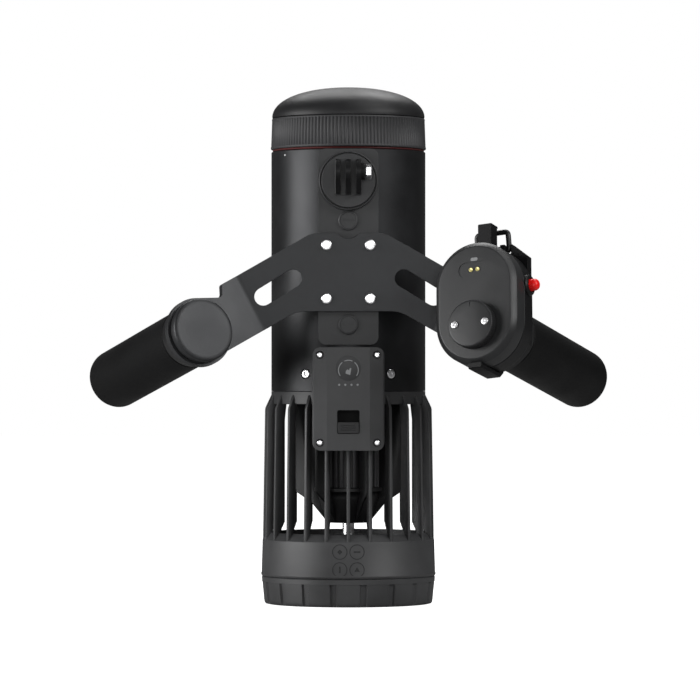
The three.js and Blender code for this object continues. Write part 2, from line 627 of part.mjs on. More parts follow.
// ---------------------------------------------------------------- tail cage and tail ring
function cage() {
  const collar = turned(
    [[BARREL_R, COLLAR_Z], [BARREL_R, SEAM_Z - GAP], [SPIGOT_R, SEAM_Z - GAP], [SPIGOT_R, SPIGOT_TOP_Z],
      [SPIGOT_BORE_R, SPIGOT_TOP_Z], [SPIGOT_BORE_R, COLLAR_Z + 3], [41, COLLAR_Z]],
    ROUND,
  );
  const shroud = turned(
    [[DUCT_R, TAIL_RING_TOP_Z + GAP], [51.3, TAIL_RING_TOP_Z + GAP], [51.5, 18], [50.6, 37.8],
      [49.6, 38.6], [47.2, SHROUD_TOP_Z], [DUCT_R, SHROUD_TOP_Z]],
    ROUND,
  );
  const ribs = [];
  for (let i = 0; i < RIB_COUNT; i++) {
    const angle = (i * 2 * Math.PI) / RIB_COUNT;
    ribs.push(radialPlate(
      [[46.3, 37], [49.4, 38], [50.3, 43], [49.1, 114.8], [BARREL_R - 0.4, 123.4], [42, 119],
        [RIB_INNER_R, 108], [RIB_INNER_R, 47], [46.3, 43]],
      RIB_T,
      angle,
    ));
  }
  const holes = TAIL_SCREW_ANGLES.map((angle) =>
    rod(1.9, 30, 60, 8).rotateY(Math.PI / 2).rotateZ(rad(angle)).translate(0, 0, TAIL_SCREW_Z));
  return cut(joined(collar, shroud, ...ribs), ...holes);
}

function tailRing() {
  const top = TAIL_RING_TOP_Z;
  const ring = turned(
    [[DUCT_R, 0], [48, 0], [49.6, 1.6], [51, 14.6], [51, top], [DUCT_R, top]],
    ROUND,
  );
  const notches = [];
  for (let i = 0; i < NOTCH_COUNT; i++) {
    const angle = ((i + 0.5) * 2 * Math.PI) / NOTCH_COUNT;
    notches.push(box([49.2, 60], [-2.1, 2.1], [-1, 13.4]).rotateZ(angle));
  }
  const hub = turned([[0, 0], [8, 0], [9.5, 2], [9.5, 11], [0, 11]], 24);
  const vanes = [];
  for (let i = 0; i < 7; i++) {
    const vane = blade(8.5, 46.8, 10, 10, 1.25, 1.25, 1.6, 0);
    vanes.push(vane.rotateZ((i * 2 * Math.PI) / 7).translate(0, 0, 6.2));
  }
  return joined(cut(ring, ...notches), hub, ...vanes);
}

// ---------------------------------------------------------------- motor pod
function motorHousing() {
  const pod = turned(
    [[37.2, 124], [37.2, 131], [15.6, 131], [15.6, CAN_BOTTOM_Z], [8.1, CAN_BOTTOM_Z], [8.1, 60], [5, 60],
      [5, 53.5], [7.1, 53.5], [7.1, POD_BOTTOM_Z], [12.2, POD_BOTTOM_Z], [13.4, 49], [17.4, 62], [17.4, 66],
      [20, 66], [20, 68], [CAN_R, 68], [CAN_R, 124]],
    24,
  );
  const fins = [];
  for (let i = 0; i < 12; i++) {
    const fin = [[CAN_R - 0.5, 67], [18.8, 67], [18.8, 124.5], [CAN_R - 0.5, 124.5]];
    fins.push(radialPlate(fin, 1.5, (i * Math.PI) / 6));
  }
  const vanes = VANE_ANGLES.map((angle) => radialPlate(
    [[CAN_R - 0.5, 124.5], [VANE_R, 124.5], [VANE_R, 66], [22, 59.3], [12.6, 47.8], [12, 50], [16, 62]],
    1.8,
    rad(angle),
  ));
  return joined(pod, ...fins, ...vanes);
}

const motorLid = () =>
  turned(
    [[0, 134], [36.9, 134], [36.9, 131.3], [15.3, 131.3], [15.3, 112], [8.1, 112], [8.1, 117], [4.2, 117],
      [4.2, 124], [0, 124]],
    18,
  );

// Laminated ring with nine teeth that carry the windings.
function stator() {
  const ring = tube(13, 15.3, 76, 106, 18);
  const teeth = [];
  for (let i = 0; i < 9; i++) {
    const angle = (i * 2 * Math.PI) / 9;
    teeth.push(box([9.9, 13.5], [-1.2, 1.2], [76, 106]).rotateZ(angle));
    teeth.push(box([10.6, 13.2], [-2.4, 2.4], [74.5, 107.5]).rotateZ(angle));
  }
  return joined(ring, ...teeth);
}

function propeller() {
  const [low, high] = HUB_Z;
  const hub = turned(
    [[SHAFT_R + 0.1, low], [8.6, low], [9.6, low + 3], [9.6, high - 3], [8, high], [SHAFT_R + 0.1, high]],
    28,
  );
  const blades = [0, 1, 2].map((i) =>
    blade(8.4, 44.6, 17, 24, 0.95, 0.42, 2.6, 7)
      .rotateZ((i * 2 * Math.PI) / 3)
      .translate(0, 0, (low + high) / 2 - 1.5));
  return joined(hub, ...blades);
}

function propellerNut() {
  const nut = turned([[0, 13], [4, 13], [6.6, 15.4], [6.6, 19.7], [0, 19.7]], 6);
  return cut(nut, rod(SHAFT_R + 0.15, 15.5, 21, 20));
}

// ---------------------------------------------------------------- assembly
const scooter = new THREE.Group();

add(scooter, "barrel_tube", hullTube(), "hull");
battery(scooter);
add(scooter, "driver_board", driverBoard(), "board");
add(scooter, "nose_seal", noseSeal(), "seal");
add(scooter, "nose_ring", noseRing(), "plastic");
add(scooter, "nose_dome", noseDome(), "nose");

add(scooter, "accessory_rail", rail(), "plastic");
add(scooter, "camera_mount", cameraMount(), "plastic");
add(scooter, "camera_mount_nut", mountNut(), "steel");
for (const [name, z] of [["rail_plug_upper", 223.9], ["rail_plug_lower", 163.7]]) {
  const plug = turned([[0, 0], [5.5, 0], [5.5, 0.8], [5, 1.2], [0, 1.2]], 16);
  add(scooter, name, plug, "plastic").position.set(0, RAIL_FACE_Y - FINE, z);
  scooter.getObjectByName(name).rotation.x = Math.PI / 2;
}

add(scooter, "handlebar_plate", handlebarPlate(), "plate");
plateScrewPlaces().forEach(([x, z], i) => {
  const mesh = add(scooter, `handlebar_screw_${i + 1}`, screw(3.1, 1.4, 1.9, 10), "steel");
  mesh.position.set(x, PLATE_FRONT_Y - FINE, z);
  mesh.rotation.x = Math.PI / 2;
});

for (const [prefix, side] of [["left", -1], ["right", 1]]) {
  const handle = new THREE.Group();
  handle.applyMatrix4(flangeFrame(side));
  add(handle, `${prefix}_grip_core`, gripCore(), "steel");
  add(handle, `${prefix}_grip_sleeve`, gripSleeve(), "rubber");
  add(handle, `${prefix}_grip_bolt`, gripBolt(side < 0 ? GAP : 2.4), "steel");
  if (side < 0) add(handle, "left_grip_cap", gripCap(), "plate");
  scooter.add(handle);
}

const remote = new THREE.Group();
remote.applyMatrix4(flangeFrame(1));
add(remote, "remote_cradle", cradle(), "blackPlastic");
add(remote, "remote_rear_shell", remoteRearShell(), "blackPlastic");
add(remote, "remote_front_shell", remoteFrontShell(), "plastic");
add(remote, "remote_dial", dial(), "plastic");
for (const [i, side] of [-1, 1].entries()) {
  add(remote, `remote_dial_screw_${i + 1}`, screw(2.1, 0.8, 1.1, 4), "steel")
    .position.set(side * 9.4, DIAL_AT, REMOTE_FACE + 6.5 + FINE);
  add(remote, `charge_contact_${i + 1}`, rod(1.2, REMOTE_FACE - 5, REMOTE_FACE + 0.4, 14), "gold")
    .position.set(side * 2.05, CONTACT_AT, 0);
}
add(remote, "remote_button", remoteButton(), "red");
add(remote, "remote_bail", bail(), "blackPlastic");
add(remote, "remote_board", remoteBoard(), "board");
scooter.add(remote);

add(scooter, "display_housing", displayHousing(), "plastic");
add(scooter, "display_board", box([-13, 13], [-56.6, -55], [100, 126]), "board");
add(scooter, "gauge_lens", uprightRod(7.3, 0, GAUGE_Z, BOX_FACE_Y + 0.6, BOX_FACE_Y + 0.1, 32), "light");
add(scooter, "power_slider", slider(), "blackPlastic");
displayScrewPlaces().forEach(([x, z], i) => {
  const mesh = add(scooter, `display_screw_${i + 1}`, screw(1.8, 1.4, 0.95, 4.5), "steel");
  mesh.position.set(x, BOX_FACE_Y + 3.5, z);
  mesh.rotation.x = Math.PI / 2;
});

TAIL_SCREW_ANGLES.forEach((angle, i) => {
  const mesh = add(scooter, `tail_screw_${i + 1}`, screw(2.75, 1.6, 1.6, 6), "steel");
  mesh.position.set(44.2 * Math.cos(rad(angle)), 44.2 * Math.sin(rad(angle)), TAIL_SCREW_Z);
  mesh.rotation.set(0, Math.PI / 2, rad(angle), "ZYX");
});
add(scooter, "cage", cage(), "plastic");
add(scooter, "tail_ring", tailRing(), "plastic");

add(scooter, "motor_housing", motorHousing(), "plastic");
add(scooter, "motor_lid", motorLid(), "hull");
add(scooter, "motor_stator", stator(), "copper");
add(scooter, "motor_rotor", tube(SHAFT_R + 0.1, 9, 74, 108, 18), "magnet");
add(scooter, "motor_shaft", rod(SHAFT_R, 15.8, 122, 24), "steel");
add(scooter, "lower_bearing", tube(SHAFT_R + 0.1, 8, 60.3, 65, 18), "steel");
add(scooter, "upper_bearing", tube(SHAFT_R + 0.1, 8, 112.2, 116.7, 18), "steel");
add(scooter, "shaft_seal", tube(SHAFT_R + 0.1, 7, 48.5, 53.2, 18), "rubber");
add(scooter, "propeller", propeller(), "blackPlastic");
add(scooter, "propeller_nut", propellerNut(), "steel");

export default scooter;
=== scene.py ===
import json
import math
import bmesh
import bpy
from mathutils import Matrix, Vector


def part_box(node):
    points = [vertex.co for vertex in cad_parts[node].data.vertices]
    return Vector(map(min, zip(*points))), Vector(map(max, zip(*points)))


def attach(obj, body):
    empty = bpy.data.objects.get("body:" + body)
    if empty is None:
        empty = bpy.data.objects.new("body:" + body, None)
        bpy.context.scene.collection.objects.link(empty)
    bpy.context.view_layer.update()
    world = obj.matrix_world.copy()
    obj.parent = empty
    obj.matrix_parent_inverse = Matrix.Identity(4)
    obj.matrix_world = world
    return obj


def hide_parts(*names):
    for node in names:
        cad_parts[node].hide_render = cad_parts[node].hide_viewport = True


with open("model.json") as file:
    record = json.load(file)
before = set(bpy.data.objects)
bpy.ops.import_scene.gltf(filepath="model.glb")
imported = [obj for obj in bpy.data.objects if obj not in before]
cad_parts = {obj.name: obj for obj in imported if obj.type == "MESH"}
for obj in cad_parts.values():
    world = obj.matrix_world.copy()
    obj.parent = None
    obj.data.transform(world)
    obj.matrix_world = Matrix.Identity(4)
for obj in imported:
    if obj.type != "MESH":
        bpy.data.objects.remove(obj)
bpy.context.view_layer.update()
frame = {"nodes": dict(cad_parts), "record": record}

MM = 0.001
TAU = 2 * math.pi
IDENTITY = Matrix.Identity(4)
TOWARDS_X = Matrix.Rotation(math.pi / 2, 4, "Y")
SHARP = 35.0  # degrees between faces, from which an edge stays crisp
PART_GAP = 0.3  # between neighbouring bodies
REST_GAP = 0.1  # under a piece that is bolted to a face


# ---------------------------------------------------------------- places read from the frame
def low(node):
    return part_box(node)[0] / MM


def high(node):
    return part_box(node)[1] / MM


def middle(node):
    return (low(node) + high(node)) / 2


def joint(name):
    return next(j for j in frame["record"]["behaviour"]["joints"] if j["name"] == name)


BARREL_R = high("barrel_tube").x
BARREL_LOW = low("barrel_tube").z
NECK_TOP = high("barrel_tube").z
RING_LOW, RING_TOP = low("nose_ring").z, high("nose_ring").z
TOP = high("nose_dome").z
RAIL_FACE = low("accessory_rail").y
RAIL_HALF = high("accessory_rail").x
RAIL_Z = (low("accessory_rail").z, high("accessory_rail").z)
MOUNT_Z = (low("camera_mount").z + high("camera_mount").z) / 2
MOUNT_R = high("camera_mount").x
PLATE_T = 4.0
PLATE_FRONT = RAIL_FACE - REST_GAP - PLATE_T
PLATE_Z = 194.1
BOX_HALF = high("display_housing").x
BOX_Z = (low("display_housing").z, high("display_housing").z)
BOX_FACE = low("display_housing").y
SHROUD_R = 51.5
CAGE_LOW = low("cage").z
TAIL_TOP = high("tail_ring").z
COLLAR_TOP = BARREL_LOW - PART_GAP
DUCT_R = 46.0

# The right flange: z out of the tab, y up the controller, x to its right.
OUTWARD = Vector(joint("remote_dial_turn")["axis"])
RIGHTWARD = -Vector(joint("bail_swing")["axis"])
UPWARD = OUTWARD.cross(RIGHTWARD)
REMOTE_FACE = 31.0
DIAL_AT = -4.0
DIAL_FACE = Vector(joint("remote_dial_turn")["pos_m"]) / MM
CENTRE = DIAL_FACE - REMOTE_FACE * OUTWARD - DIAL_AT * UPWARD
RIGHT = Matrix((
    (RIGHTWARD.x, UPWARD.x, OUTWARD.x, CENTRE.x),
    (RIGHTWARD.y, UPWARD.y, OUTWARD.y, CENTRE.y),
    (RIGHTWARD.z, UPWARD.z, OUTWARD.z, CENTRE.z),
    (0, 0, 0, 1),
))
MIRROR = Matrix.Diagonal((-1, 1, 1, 1))
LEFT = MIRROR @ RIGHT @ MIRROR


# ---------------------------------------------------------------- mesh helpers, all in millimetres
def placed(name, data):
    """A new object in the scene for a mesh, a light or a camera."""
    made = bpy.data.objects.new(name, data)
    bpy.context.scene.collection.objects.link(made)
    return made


def smooth(mesh, sharp=SHARP):
    mesh.shade_smooth()
    mesh.set_sharp_from_angle(angle=math.radians(sharp))


def finish_mesh(name, bm, place=IDENTITY, sharp=SHARP):
    """A mesh object from bm, placed by a matrix in millimetres, smooth but for its sharp edges."""
    bm.transform(place)
    bmesh.ops.scale(bm, vec=(MM, MM, MM), verts=bm.verts)
    bmesh.ops.recalc_face_normals(bm, faces=bm.faces)
    mesh = bpy.data.meshes.new(name)
    bm.to_mesh(mesh)
    bm.free()
    smooth(mesh, sharp)
    return placed(name, mesh)


def loft(name, rings, place=IDENTITY, loop=False, sharp=SHARP):
    """Rings of points joined by quads: a tube that closes on itself, or one capped at both ends."""
    bm = bmesh.new()
    rows = [[bm.verts.new(p) for p in ring] for ring in rings]
    count = len(rows[0])
    pairs = list(zip(rows, rows[1:]))
    if loop:
        pairs.append((rows[-1], rows[0]))
    for a, b in pairs:
        for i in range(count):
            j = (i + 1) % count
            bm.faces.new((a[i], a[j], b[j], b[i]))
    if not loop:
        bm.faces.new(rows[0])
        bm.faces.new(rows[-1])
    bmesh.ops.remove_doubles(bm, verts=bm.verts, dist=1e-5)
    return finish_mesh(name, bm, place, sharp)


def lathe(name, profile, segments, place=IDENTITY, shape=None, sharp=SHARP):
    """A profile of (radius, z) turned about z. shape(angle, index) scales the radius if given."""
    def ring(i, r, z):
        points = []
        for k in range(segments):
            a = TAU * k / segments
            reach = r * (shape(a, i) if shape else 1)
            points.append((reach * math.sin(a), -reach * math.cos(a), z))
        return points

    capped = profile[0][0] == 0 and profile[-1][0] == 0
    inner = profile[1:-1] if capped else profile
    rings = [ring(i, r, z) for i, (r, z) in enumerate(inner)]
    return loft(name, rings, place, loop=not capped, sharp=sharp)


def arc(cx, cy, r, start, end, steps):
    """Points on a circle from one angle to another, in degrees."""
    angles = [math.radians(start + (end - start) * i / steps) for i in range(steps + 1)]
    return [(cx + r * math.cos(a), cy + r * math.sin(a)) for a in angles]


def rounded(points, steps=6):
    """An outline through (x, y, radius) corners, each rounded by a true arc."""
    out = []
    for i, (x, y, r) in enumerate(points):
        here = Vector((x, y))
        back = (Vector(points[i - 1][:2]) - here).normalized()
        ahead = (Vector(points[(i + 1) % len(points)][:2]) - here).normalized()
        if r == 0:
            out.append((x, y))
            continue
        half = back.angle(ahead) / 2
        middle = here + (back + ahead).normalized() * (r / math.sin(half))
        start = here + back * (r / math.tan(half)) - middle
        end = here + ahead * (r / math.tan(half)) - middle
        sweep = start.angle_signed(end)
        for k in range(steps + 1):
            turned = start.copy()
            turned.rotate(Matrix.Rotation(-sweep * k / steps, 2))
            out.append(tuple(middle + turned))
    return out


def plate_box(half, bottom, top, r, steps=6):
    return rounded([(-half, bottom, r), (half, bottom, r), (half, top, r), (-half, top, r)], steps)


def obround(ends, r, steps):
    """Two half circles of one radius, upright, round two centres on the y axis."""
    bottom, top = ends
    return arc(0, top, r, 0, 180, steps) + arc(0, bottom, r, 180, 360, steps)


def slanted_obround(a, b, r, steps=12):
    angle = math.degrees(math.atan2(b[1] - a[1], b[0] - a[0]))
    return arc(*b, r, angle - 90, angle + 90, steps) + arc(*a, r, angle + 90, angle + 270, steps)


def circle(x, y, r, steps=32):
    return arc(x, y, r, 0, 360 - 360 / steps, steps - 1)


def prism(name, outline, bottom, top, place=IDENTITY):
    rings = [[(x, y, z) for x, y in outline] for z in (bottom, top)]
    return loft(name, rings, place)


# Outlines drawn in X and Z and given depth along Y: z of the outline's frame points to the front.
UPRIGHT = Matrix(((1, 0, 0, 0), (0, 0, -1, 0), (0, 1, 0, 0), (0, 0, 0, 1)))
# Outlines drawn in Y and Z and given width along X.
SIDEWAYS = Matrix(((0, 0, 1, 0), (1, 0, 0, 0), (0, 1, 0, 0), (0, 0, 0, 1)))


def upright(name, outline, back, front):
    return prism(name, outline, -back, -front, UPRIGHT)


def baked(piece):
    """The same piece with its modifiers applied."""
    graph = bpy.context.evaluated_depsgraph_get()
    mesh = bpy.data.meshes.new_from_object(piece.evaluated_get(graph))
    piece.modifiers.clear()
    piece.data = mesh
    return piece


def boolean(target, tools, operation):
    """Applies an exact boolean with every tool, and removes the tools."""
    for tool in tools:
        m = target.modifiers.new("cut", "BOOLEAN")
        m.operation, m.object, m.solver = operation, tool, "EXACT"
        baked(target)
        bpy.data.objects.remove(tool)
    smooth(target.data)
    return target


def cut(target, *tools):
    return boolean(target, tools, "DIFFERENCE")


def fuse(target, *parts):
    return boolean(target, parts, "UNION")


def soften(target, width, segments, angle=SHARP):
    """Small rounded edges that catch the light."""
    m = target.modifiers.new("edges", "BEVEL")
    m.width, m.segments = width * MM, segments
    m.limit_method, m.angle_limit = "ANGLE", math.radians(angle)
    m.harden_normals = True
    m.use_clamp_overlap = True
    return target


def merged(name, parts):
    """Several meshes as one piece, each keeping its own closed surface."""
    bm = bmesh.new()
    for part in parts:
        bm.from_mesh(part.data)
        bpy.data.objects.remove(part)
    mesh = bpy.data.meshes.new(name)
    bm.to_mesh(mesh)
    bm.free()
    mesh.set_sharp_from_angle(angle=math.radians(SHARP))
    return placed(name, mesh)


def shifted(x, y, z):
    return Matrix.Translation((x, y, z))


def facing(point, direction):
    """A frame at a point whose z axis runs along a level direction."""
    z = direction.normalized()
    x = Vector((0, 0, 1)).cross(z).normalized()
    y = z.cross(x)
    m = Matrix((x, y, z)).transposed().to_4x4()
    m.translation = point
    return m


# ---------------------------------------------------------------- materials
SHEEN_SPREAD = 0.12  # how far the roughness drifts
DRIFT = (0.3, 0.7)  # the part of a noise's range that carries the drift
DRIFT_SCALE = 35.0
RELIEF_DEPTH = 0.00012  # metres
DIMPLE_SCALE = 0.8  # dimples to grains


def surface(name, colour, rough, grain, bump, metal=0.0, coat=0.0, vary=0.25,
            stretch=(1, 1, 1), specular=0.5, dimples=False):
    """A moulded, blasted or brushed surface, with fine grain and a slow drift in colour."""
    material = bpy.data.materials.new(name)
    material.use_nodes = True
    tree = material.node_tree
    shader = tree.nodes["Principled BSDF"]
    shader.inputs["Metallic"].default_value = metal
    shader.inputs["Specular IOR Level"].default_value = specular
    shader.inputs["Coat Weight"].default_value = coat
    shader.inputs["Coat Roughness"].default_value = 0.3
    where = tree.nodes.new("ShaderNodeTexCoord")
    mapping = tree.nodes.new("ShaderNodeMapping")
    mapping.inputs["Scale"].default_value = stretch
    tree.links.new(where.outputs["Object"], mapping.inputs["Vector"])

    def noise(scale, detail):
        made = tree.nodes.new("ShaderNodeTexNoise")
        made.inputs["Scale"].default_value = scale
        made.inputs["Detail"].default_value = detail
        tree.links.new(mapping.outputs["Vector"], made.inputs["Vector"])
        return made

    cloud = noise(DRIFT_SCALE, 4.0)
    ramp = tree.nodes.new("ShaderNodeValToRGB")
    dark, light = ramp.color_ramp.elements
    dark.position, light.position = DRIFT
    dark.color = [c * (1 - vary) for c in colour] + [1]
    light.color = [min(1, c * (1 + vary)) for c in colour] + [1]
    tree.links.new(cloud.outputs["Fac"], ramp.inputs["Fac"])
    tree.links.new(ramp.outputs["Color"], shader.inputs["Base Color"])

    fine = noise(grain, 3.0)
    sheen = tree.nodes.new("ShaderNodeMapRange")
    sheen.inputs["From Min"].default_value = DRIFT[0]
    sheen.inputs["From Max"].default_value = DRIFT[1]
    sheen.inputs["To Min"].default_value = max(0.02, rough - SHEEN_SPREAD / 2)
    sheen.inputs["To Max"].default_value = min(1, rough + SHEEN_SPREAD / 2)
    tree.links.new(cloud.outputs["Fac"], sheen.inputs["Value"])
    tree.links.new(sheen.outputs["Result"], shader.inputs["Roughness"])

    relief = tree.nodes.new("ShaderNodeBump")
    relief.inputs["Strength"].default_value = bump
    relief.inputs["Distance"].default_value = RELIEF_DEPTH
    height = fine.outputs["Fac"]
    if dimples:
        cells = tree.nodes.new("ShaderNodeTexVoronoi")
        cells.inputs["Scale"].default_value = grain * DIMPLE_SCALE
        tree.links.new(mapping.outputs["Vector"], cells.inputs["Vector"])
        height = cells.outputs["Distance"]
    tree.links.new(height, relief.inputs["Height"])
    tree.links.new(relief.outputs["Normal"], shader.inputs["Normal"])
    return material


MATERIAL = {
    "hull": surface("anodised_hull", (0.021, 0.0215, 0.023), 0.42, metal=0.55, grain=2400,
                    bump=0.12),
    "plate": surface("anodised_plate", (0.036, 0.037, 0.039), 0.46, metal=0.5, grain=2600,
                     bump=0.18),
    "nose": surface("nose_plastic", (0.009, 0.009, 0.0098), 0.5, grain=1500, bump=0.05,
                    specular=0.42),
    "ring": surface("ring_plastic", (0.034, 0.034, 0.036), 0.55, grain=1400, bump=0.25),
    "grey": surface("grey_plastic", (0.041, 0.0415, 0.043), 0.5, grain=1600, bump=0.22),
    "rail": surface("rail_plastic", (0.030, 0.0305, 0.032), 0.5, grain=1600, bump=0.22),
    "remote": surface("remote_plastic", (0.019, 0.0195, 0.0205), 0.45, grain=1600, bump=0.2),
    "cage": surface("cage_plastic", (0.045, 0.0455, 0.047), 0.5, grain=1500, bump=0.2),
    "black": surface("black_plastic", (0.0045, 0.0045, 0.005), 0.45, grain=1500, bump=0.2,
                     specular=0.26),
    "pod": surface("pod_plastic", (0.007, 0.007, 0.0075), 0.42, grain=1500, bump=0.08,
                   specular=0.4),
    "slide": surface("slide_plastic", (0.017, 0.017, 0.018), 0.5, grain=1500, bump=0.1,
                     specular=0.4),
    # Painted shade: a near-black material for the floor and wall of the power switch's recess, so
    # the recess reads as shadowed.
    "well": surface("painted_well_shade", (0.002, 0.002, 0.0021), 0.7, grain=1500, bump=0.05,
                    specular=0.15),
    "wire": surface("coated_wire", (0.007, 0.007, 0.0075), 0.35, grain=900, bump=0.1),
    "rubber": surface("grip_rubber", (0.0028, 0.0028, 0.0030), 0.6, grain=1300, bump=0.5,
                      specular=0.16, dimples=True),
    "seal": surface("seal_rubber", (0.075, 0.012, 0.011), 0.5, grain=1200, bump=0.1),
    "steel": surface("stainless_steel", (0.86, 0.86, 0.87), 0.3, metal=1.0, grain=1500, bump=0.08,
                     vary=0.05, stretch=(1, 6, 1)),
    "gold": surface("gold_contact", (0.80, 0.70, 0.28), 0.3, metal=0.35, grain=1800, bump=0.05,
                    vary=0.06),
    "red": surface("red_plastic", (0.95, 0.004, 0.003), 0.38, grain=1400, bump=0.05, vary=0.05),
    "mark": surface("print_grey", (0.24, 0.245, 0.25), 0.5, grain=1500, bump=0.05, vary=0.05),
    "dark_mark": surface("print_dark", (0.010, 0.010, 0.0105), 0.6, grain=1500, bump=0.1),
    "white": surface("print_white", (0.8, 0.8, 0.8), 0.5, grain=1500, bump=0.05, vary=0.03),
    "lens": surface("smoked_lens", (0.029, 0.0295, 0.031), 0.46, grain=1200, bump=0.02),
    "copper": surface("copper_winding", (0.55, 0.22, 0.08), 0.35, metal=0.9, grain=700, bump=0.6,
                      stretch=(1, 1, 9)),
    "magnet": surface("magnet_steel", (0.35, 0.36, 0.38), 0.35, metal=1.0, grain=900, bump=0.1),
    "battery": surface("battery_wrap", (0.02, 0.06, 0.14), 0.4, grain=600, bump=0.15, coat=0.2),
    "board": surface("circuit_board", (0.01, 0.10, 0.035), 0.35, grain=500, bump=0.5, dimples=True),
    "aluminium": surface("aluminium_core", (0.62, 0.62, 0.64), 0.35, metal=1.0, grain=1200,
                         bump=0.15, stretch=(1, 1, 8)),
}


def make(piece, material, body="body", replaces=()):
    piece.data.materials.clear()
    piece.data.materials.append(MATERIAL[material])
    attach(piece, body)
    if replaces:
        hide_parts(*replaces)
    return piece


# ---------------------------------------------------------------- screws
def hexagon(angle):
    """Radius of a hexagon of unit apothem at an angle."""
    return 1 / math.cos((angle + math.pi / 6) % (math.pi / 3) - math.pi / 6)


SHANK = 3.0


def socket_screw(name, place, head_r, head_h, socket_r, shank_r):
    """A screw's head with rounded shoulders and a hexagon socket, and its shank below z = 0."""
    profile = [(0, -SHANK), (shank_r, -SHANK), (shank_r, 0), (head_r - 0.15, 0), (head_r, 0.15)]
    profile += [(head_r, head_h * 0.55)]
    profile += [(head_r - head_h * 0.45 * (1 - math.cos(t)), head_h * (0.55 + 0.45 * math.sin(t)))
                for t in (0.4, 0.8, 1.2, math.pi / 2)]
    first_hex = len(profile) - 1
    profile += [(socket_r, head_h), (socket_r * 0.96, head_h - 0.1),
                (socket_r * 0.96, head_h * 0.35), (0, head_h * 0.25)]
    return lathe(name, profile, 48, place,
                 shape=lambda a, i: hexagon(a) if i >= first_hex else 1)


# ---------------------------------------------------------------- nose
DOME_R = 45
DOME_POWER = 0.92  # below 1 the dome's shoulder is fuller than an ellipse
DOME_STEPS = 28
NOSE_RIBS = 132
NOSE_RIB_DEPTH = 0.014  # of the ring's radius


def build_nose():
    dome_z = RING_TOP + PART_GAP
    rise = TOP - dome_z
    turns = [math.pi / 2 * i / DOME_STEPS for i in range(DOME_STEPS)]
    outer = [(DOME_R * math.cos(t) ** DOME_POWER, dome_z + rise * math.sin(t) ** DOME_POWER)
             for t in turns]
    outer.append((0, dome_z + rise))
    outer = [(44.4, dome_z + 0.02), (44.85, dome_z + 0.15)] + outer[1:]
    inner = [(0, TOP - 3.5), (26, TOP - 7), (37.2, dome_z + 2), (37.2, 279.2), (42.3, 279.2),
             (42.3, 282.4), (40.1, 282.4), (40.1, dome_z)]
    make(lathe("nose_cap_dome", inner + outer, 160), "nose", "nose_dome", ["nose_dome"])

    # Fine upright ribs all round, between plain rims.
    steps = 6
    rows = [(40.5, RING_TOP), (44.6, RING_TOP), (45.05, RING_TOP - 0.3), (45.12, RING_TOP - 1.0),
            (45.0, RING_TOP - 1.3), (45.55, RING_LOW + 1.6), (45.75, RING_LOW + 1.2),
            (45.75, RING_LOW + 0.3), (45.45, RING_LOW), (42.9, RING_LOW), (42.9, 282.7),
            (40.5, 282.7)]
    ribbed = (4, 5)

    def grooves(angle, i):
        if i not in ribbed:
            return 1
        phase = (angle * NOSE_RIBS / TAU) % 1
        return 1 - NOSE_RIB_DEPTH * max(0.0, math.cos(TAU * phase)) ** 0.7

    make(lathe("nose_grip_ring", rows, NOSE_RIBS * steps, shape=grooves, sharp=60), "ring",
         "nose_ring", ["nose_ring"])

    seal_z = (low("nose_seal").z + high("nose_seal").z) / 2
    round_section = [(43.9 + 0.75 * math.cos(t), seal_z + 0.62 * math.sin(t))
                     for t in [TAU * i / 12 for i in range(12)]]
    make(lathe("nose_seal_ring", round_section, 160), "seal", "body", ["nose_seal"])


# ---------------------------------------------------------------- hull and its rail
def tail_screw_angles():
    """Angles about z of the four screws, read from where their nodes are."""
    places = [middle(f"tail_screw_{i}") for i in range(1, 5)]
    return [(math.atan2(p.y, p.x), p.z) for p in places]


DOT_ANGLE = -90 - 54.6
DOT_Z = 262.8


def build_hull():
    top = RING_LOW - 1.4
    profile = [(BARREL_R - 0.15, BARREL_LOW - 0.02), (BARREL_R, BARREL_LOW + 0.15),
               (BARREL_R, top - 0.5), (BARREL_R - 0.5, top), (42.6, top), (42.6, NECK_TOP - 0.6),
               (42.0, NECK_TOP), (41.2, NECK_TOP), (41.2, BARREL_LOW)]
    hull = lathe("hull_tube", profile, 192)
    wells = []
    for i, (angle, z) in enumerate(tail_screw_angles()):
        axis = Vector((math.cos(angle), math.sin(angle), 0))
        place = facing(axis * 44.2 + Vector((0, 0, z)), axis)
        wells.append(prism(f"well_{i}", circle(0, 0, 3.15, 40), 0, 3, place))
        screw = socket_screw(f"hull_screw_{i + 1}", place, 2.75, 1.5, 1.25, 1.6)
        make(screw, "steel", "body", [f"tail_screw_{i + 1}"])
    cut(hull, *wells)
    make(hull, "hull", "body", ["barrel_tube"])

    angle = math.radians(DOT_ANGLE)
    axis = Vector((math.cos(angle), math.sin(angle), 0))
    dot = lathe("index_dot", [(0, -0.2), (0.55, -0.2), (0.5, 0.08), (0, 0.1)], 24,
                facing(axis * BARREL_R + Vector((0, 0, DOT_Z)), axis))
    make(dot, "white", "body", ())


def build_rail():
    outline = plate_box(RAIL_HALF, RAIL_Z[0], RAIL_Z[1], 4.5, 10)
    rail = upright("accessory_rail_bar", outline, -36, RAIL_FACE)
    core = lathe("core", [(0, 100), (BARREL_R + 0.25, 100), (BARREL_R + 0.25, 300), (0, 300)], 192)
    make(soften(cut(rail, core), 0.5, 3), "rail", "body", ["accessory_rail"])
    for name in ("rail_plug_upper", "rail_plug_lower"):
        centre = middle(name)
        place = shifted(0, RAIL_FACE - REST_GAP, centre.z) @ UPRIGHT
        plug = lathe(name + "_cap", [(0, 0), (5.8, 0), (5.8, 0.75), (5.6, 1.02), (5.3, 1.15),
                                     (4.8, 1.2), (4.6, 0.9), (0, 0.85)], 64, place)
        slit = prism("slit", plate_box(3.2, -0.55, 0.55, 0.5, 4), 0.55, 2, place)
        make(cut(plug, slit), "rail", "body", [name])


MOUNT_BOLT_Z = 251.6
FINGER_PITCH = 6


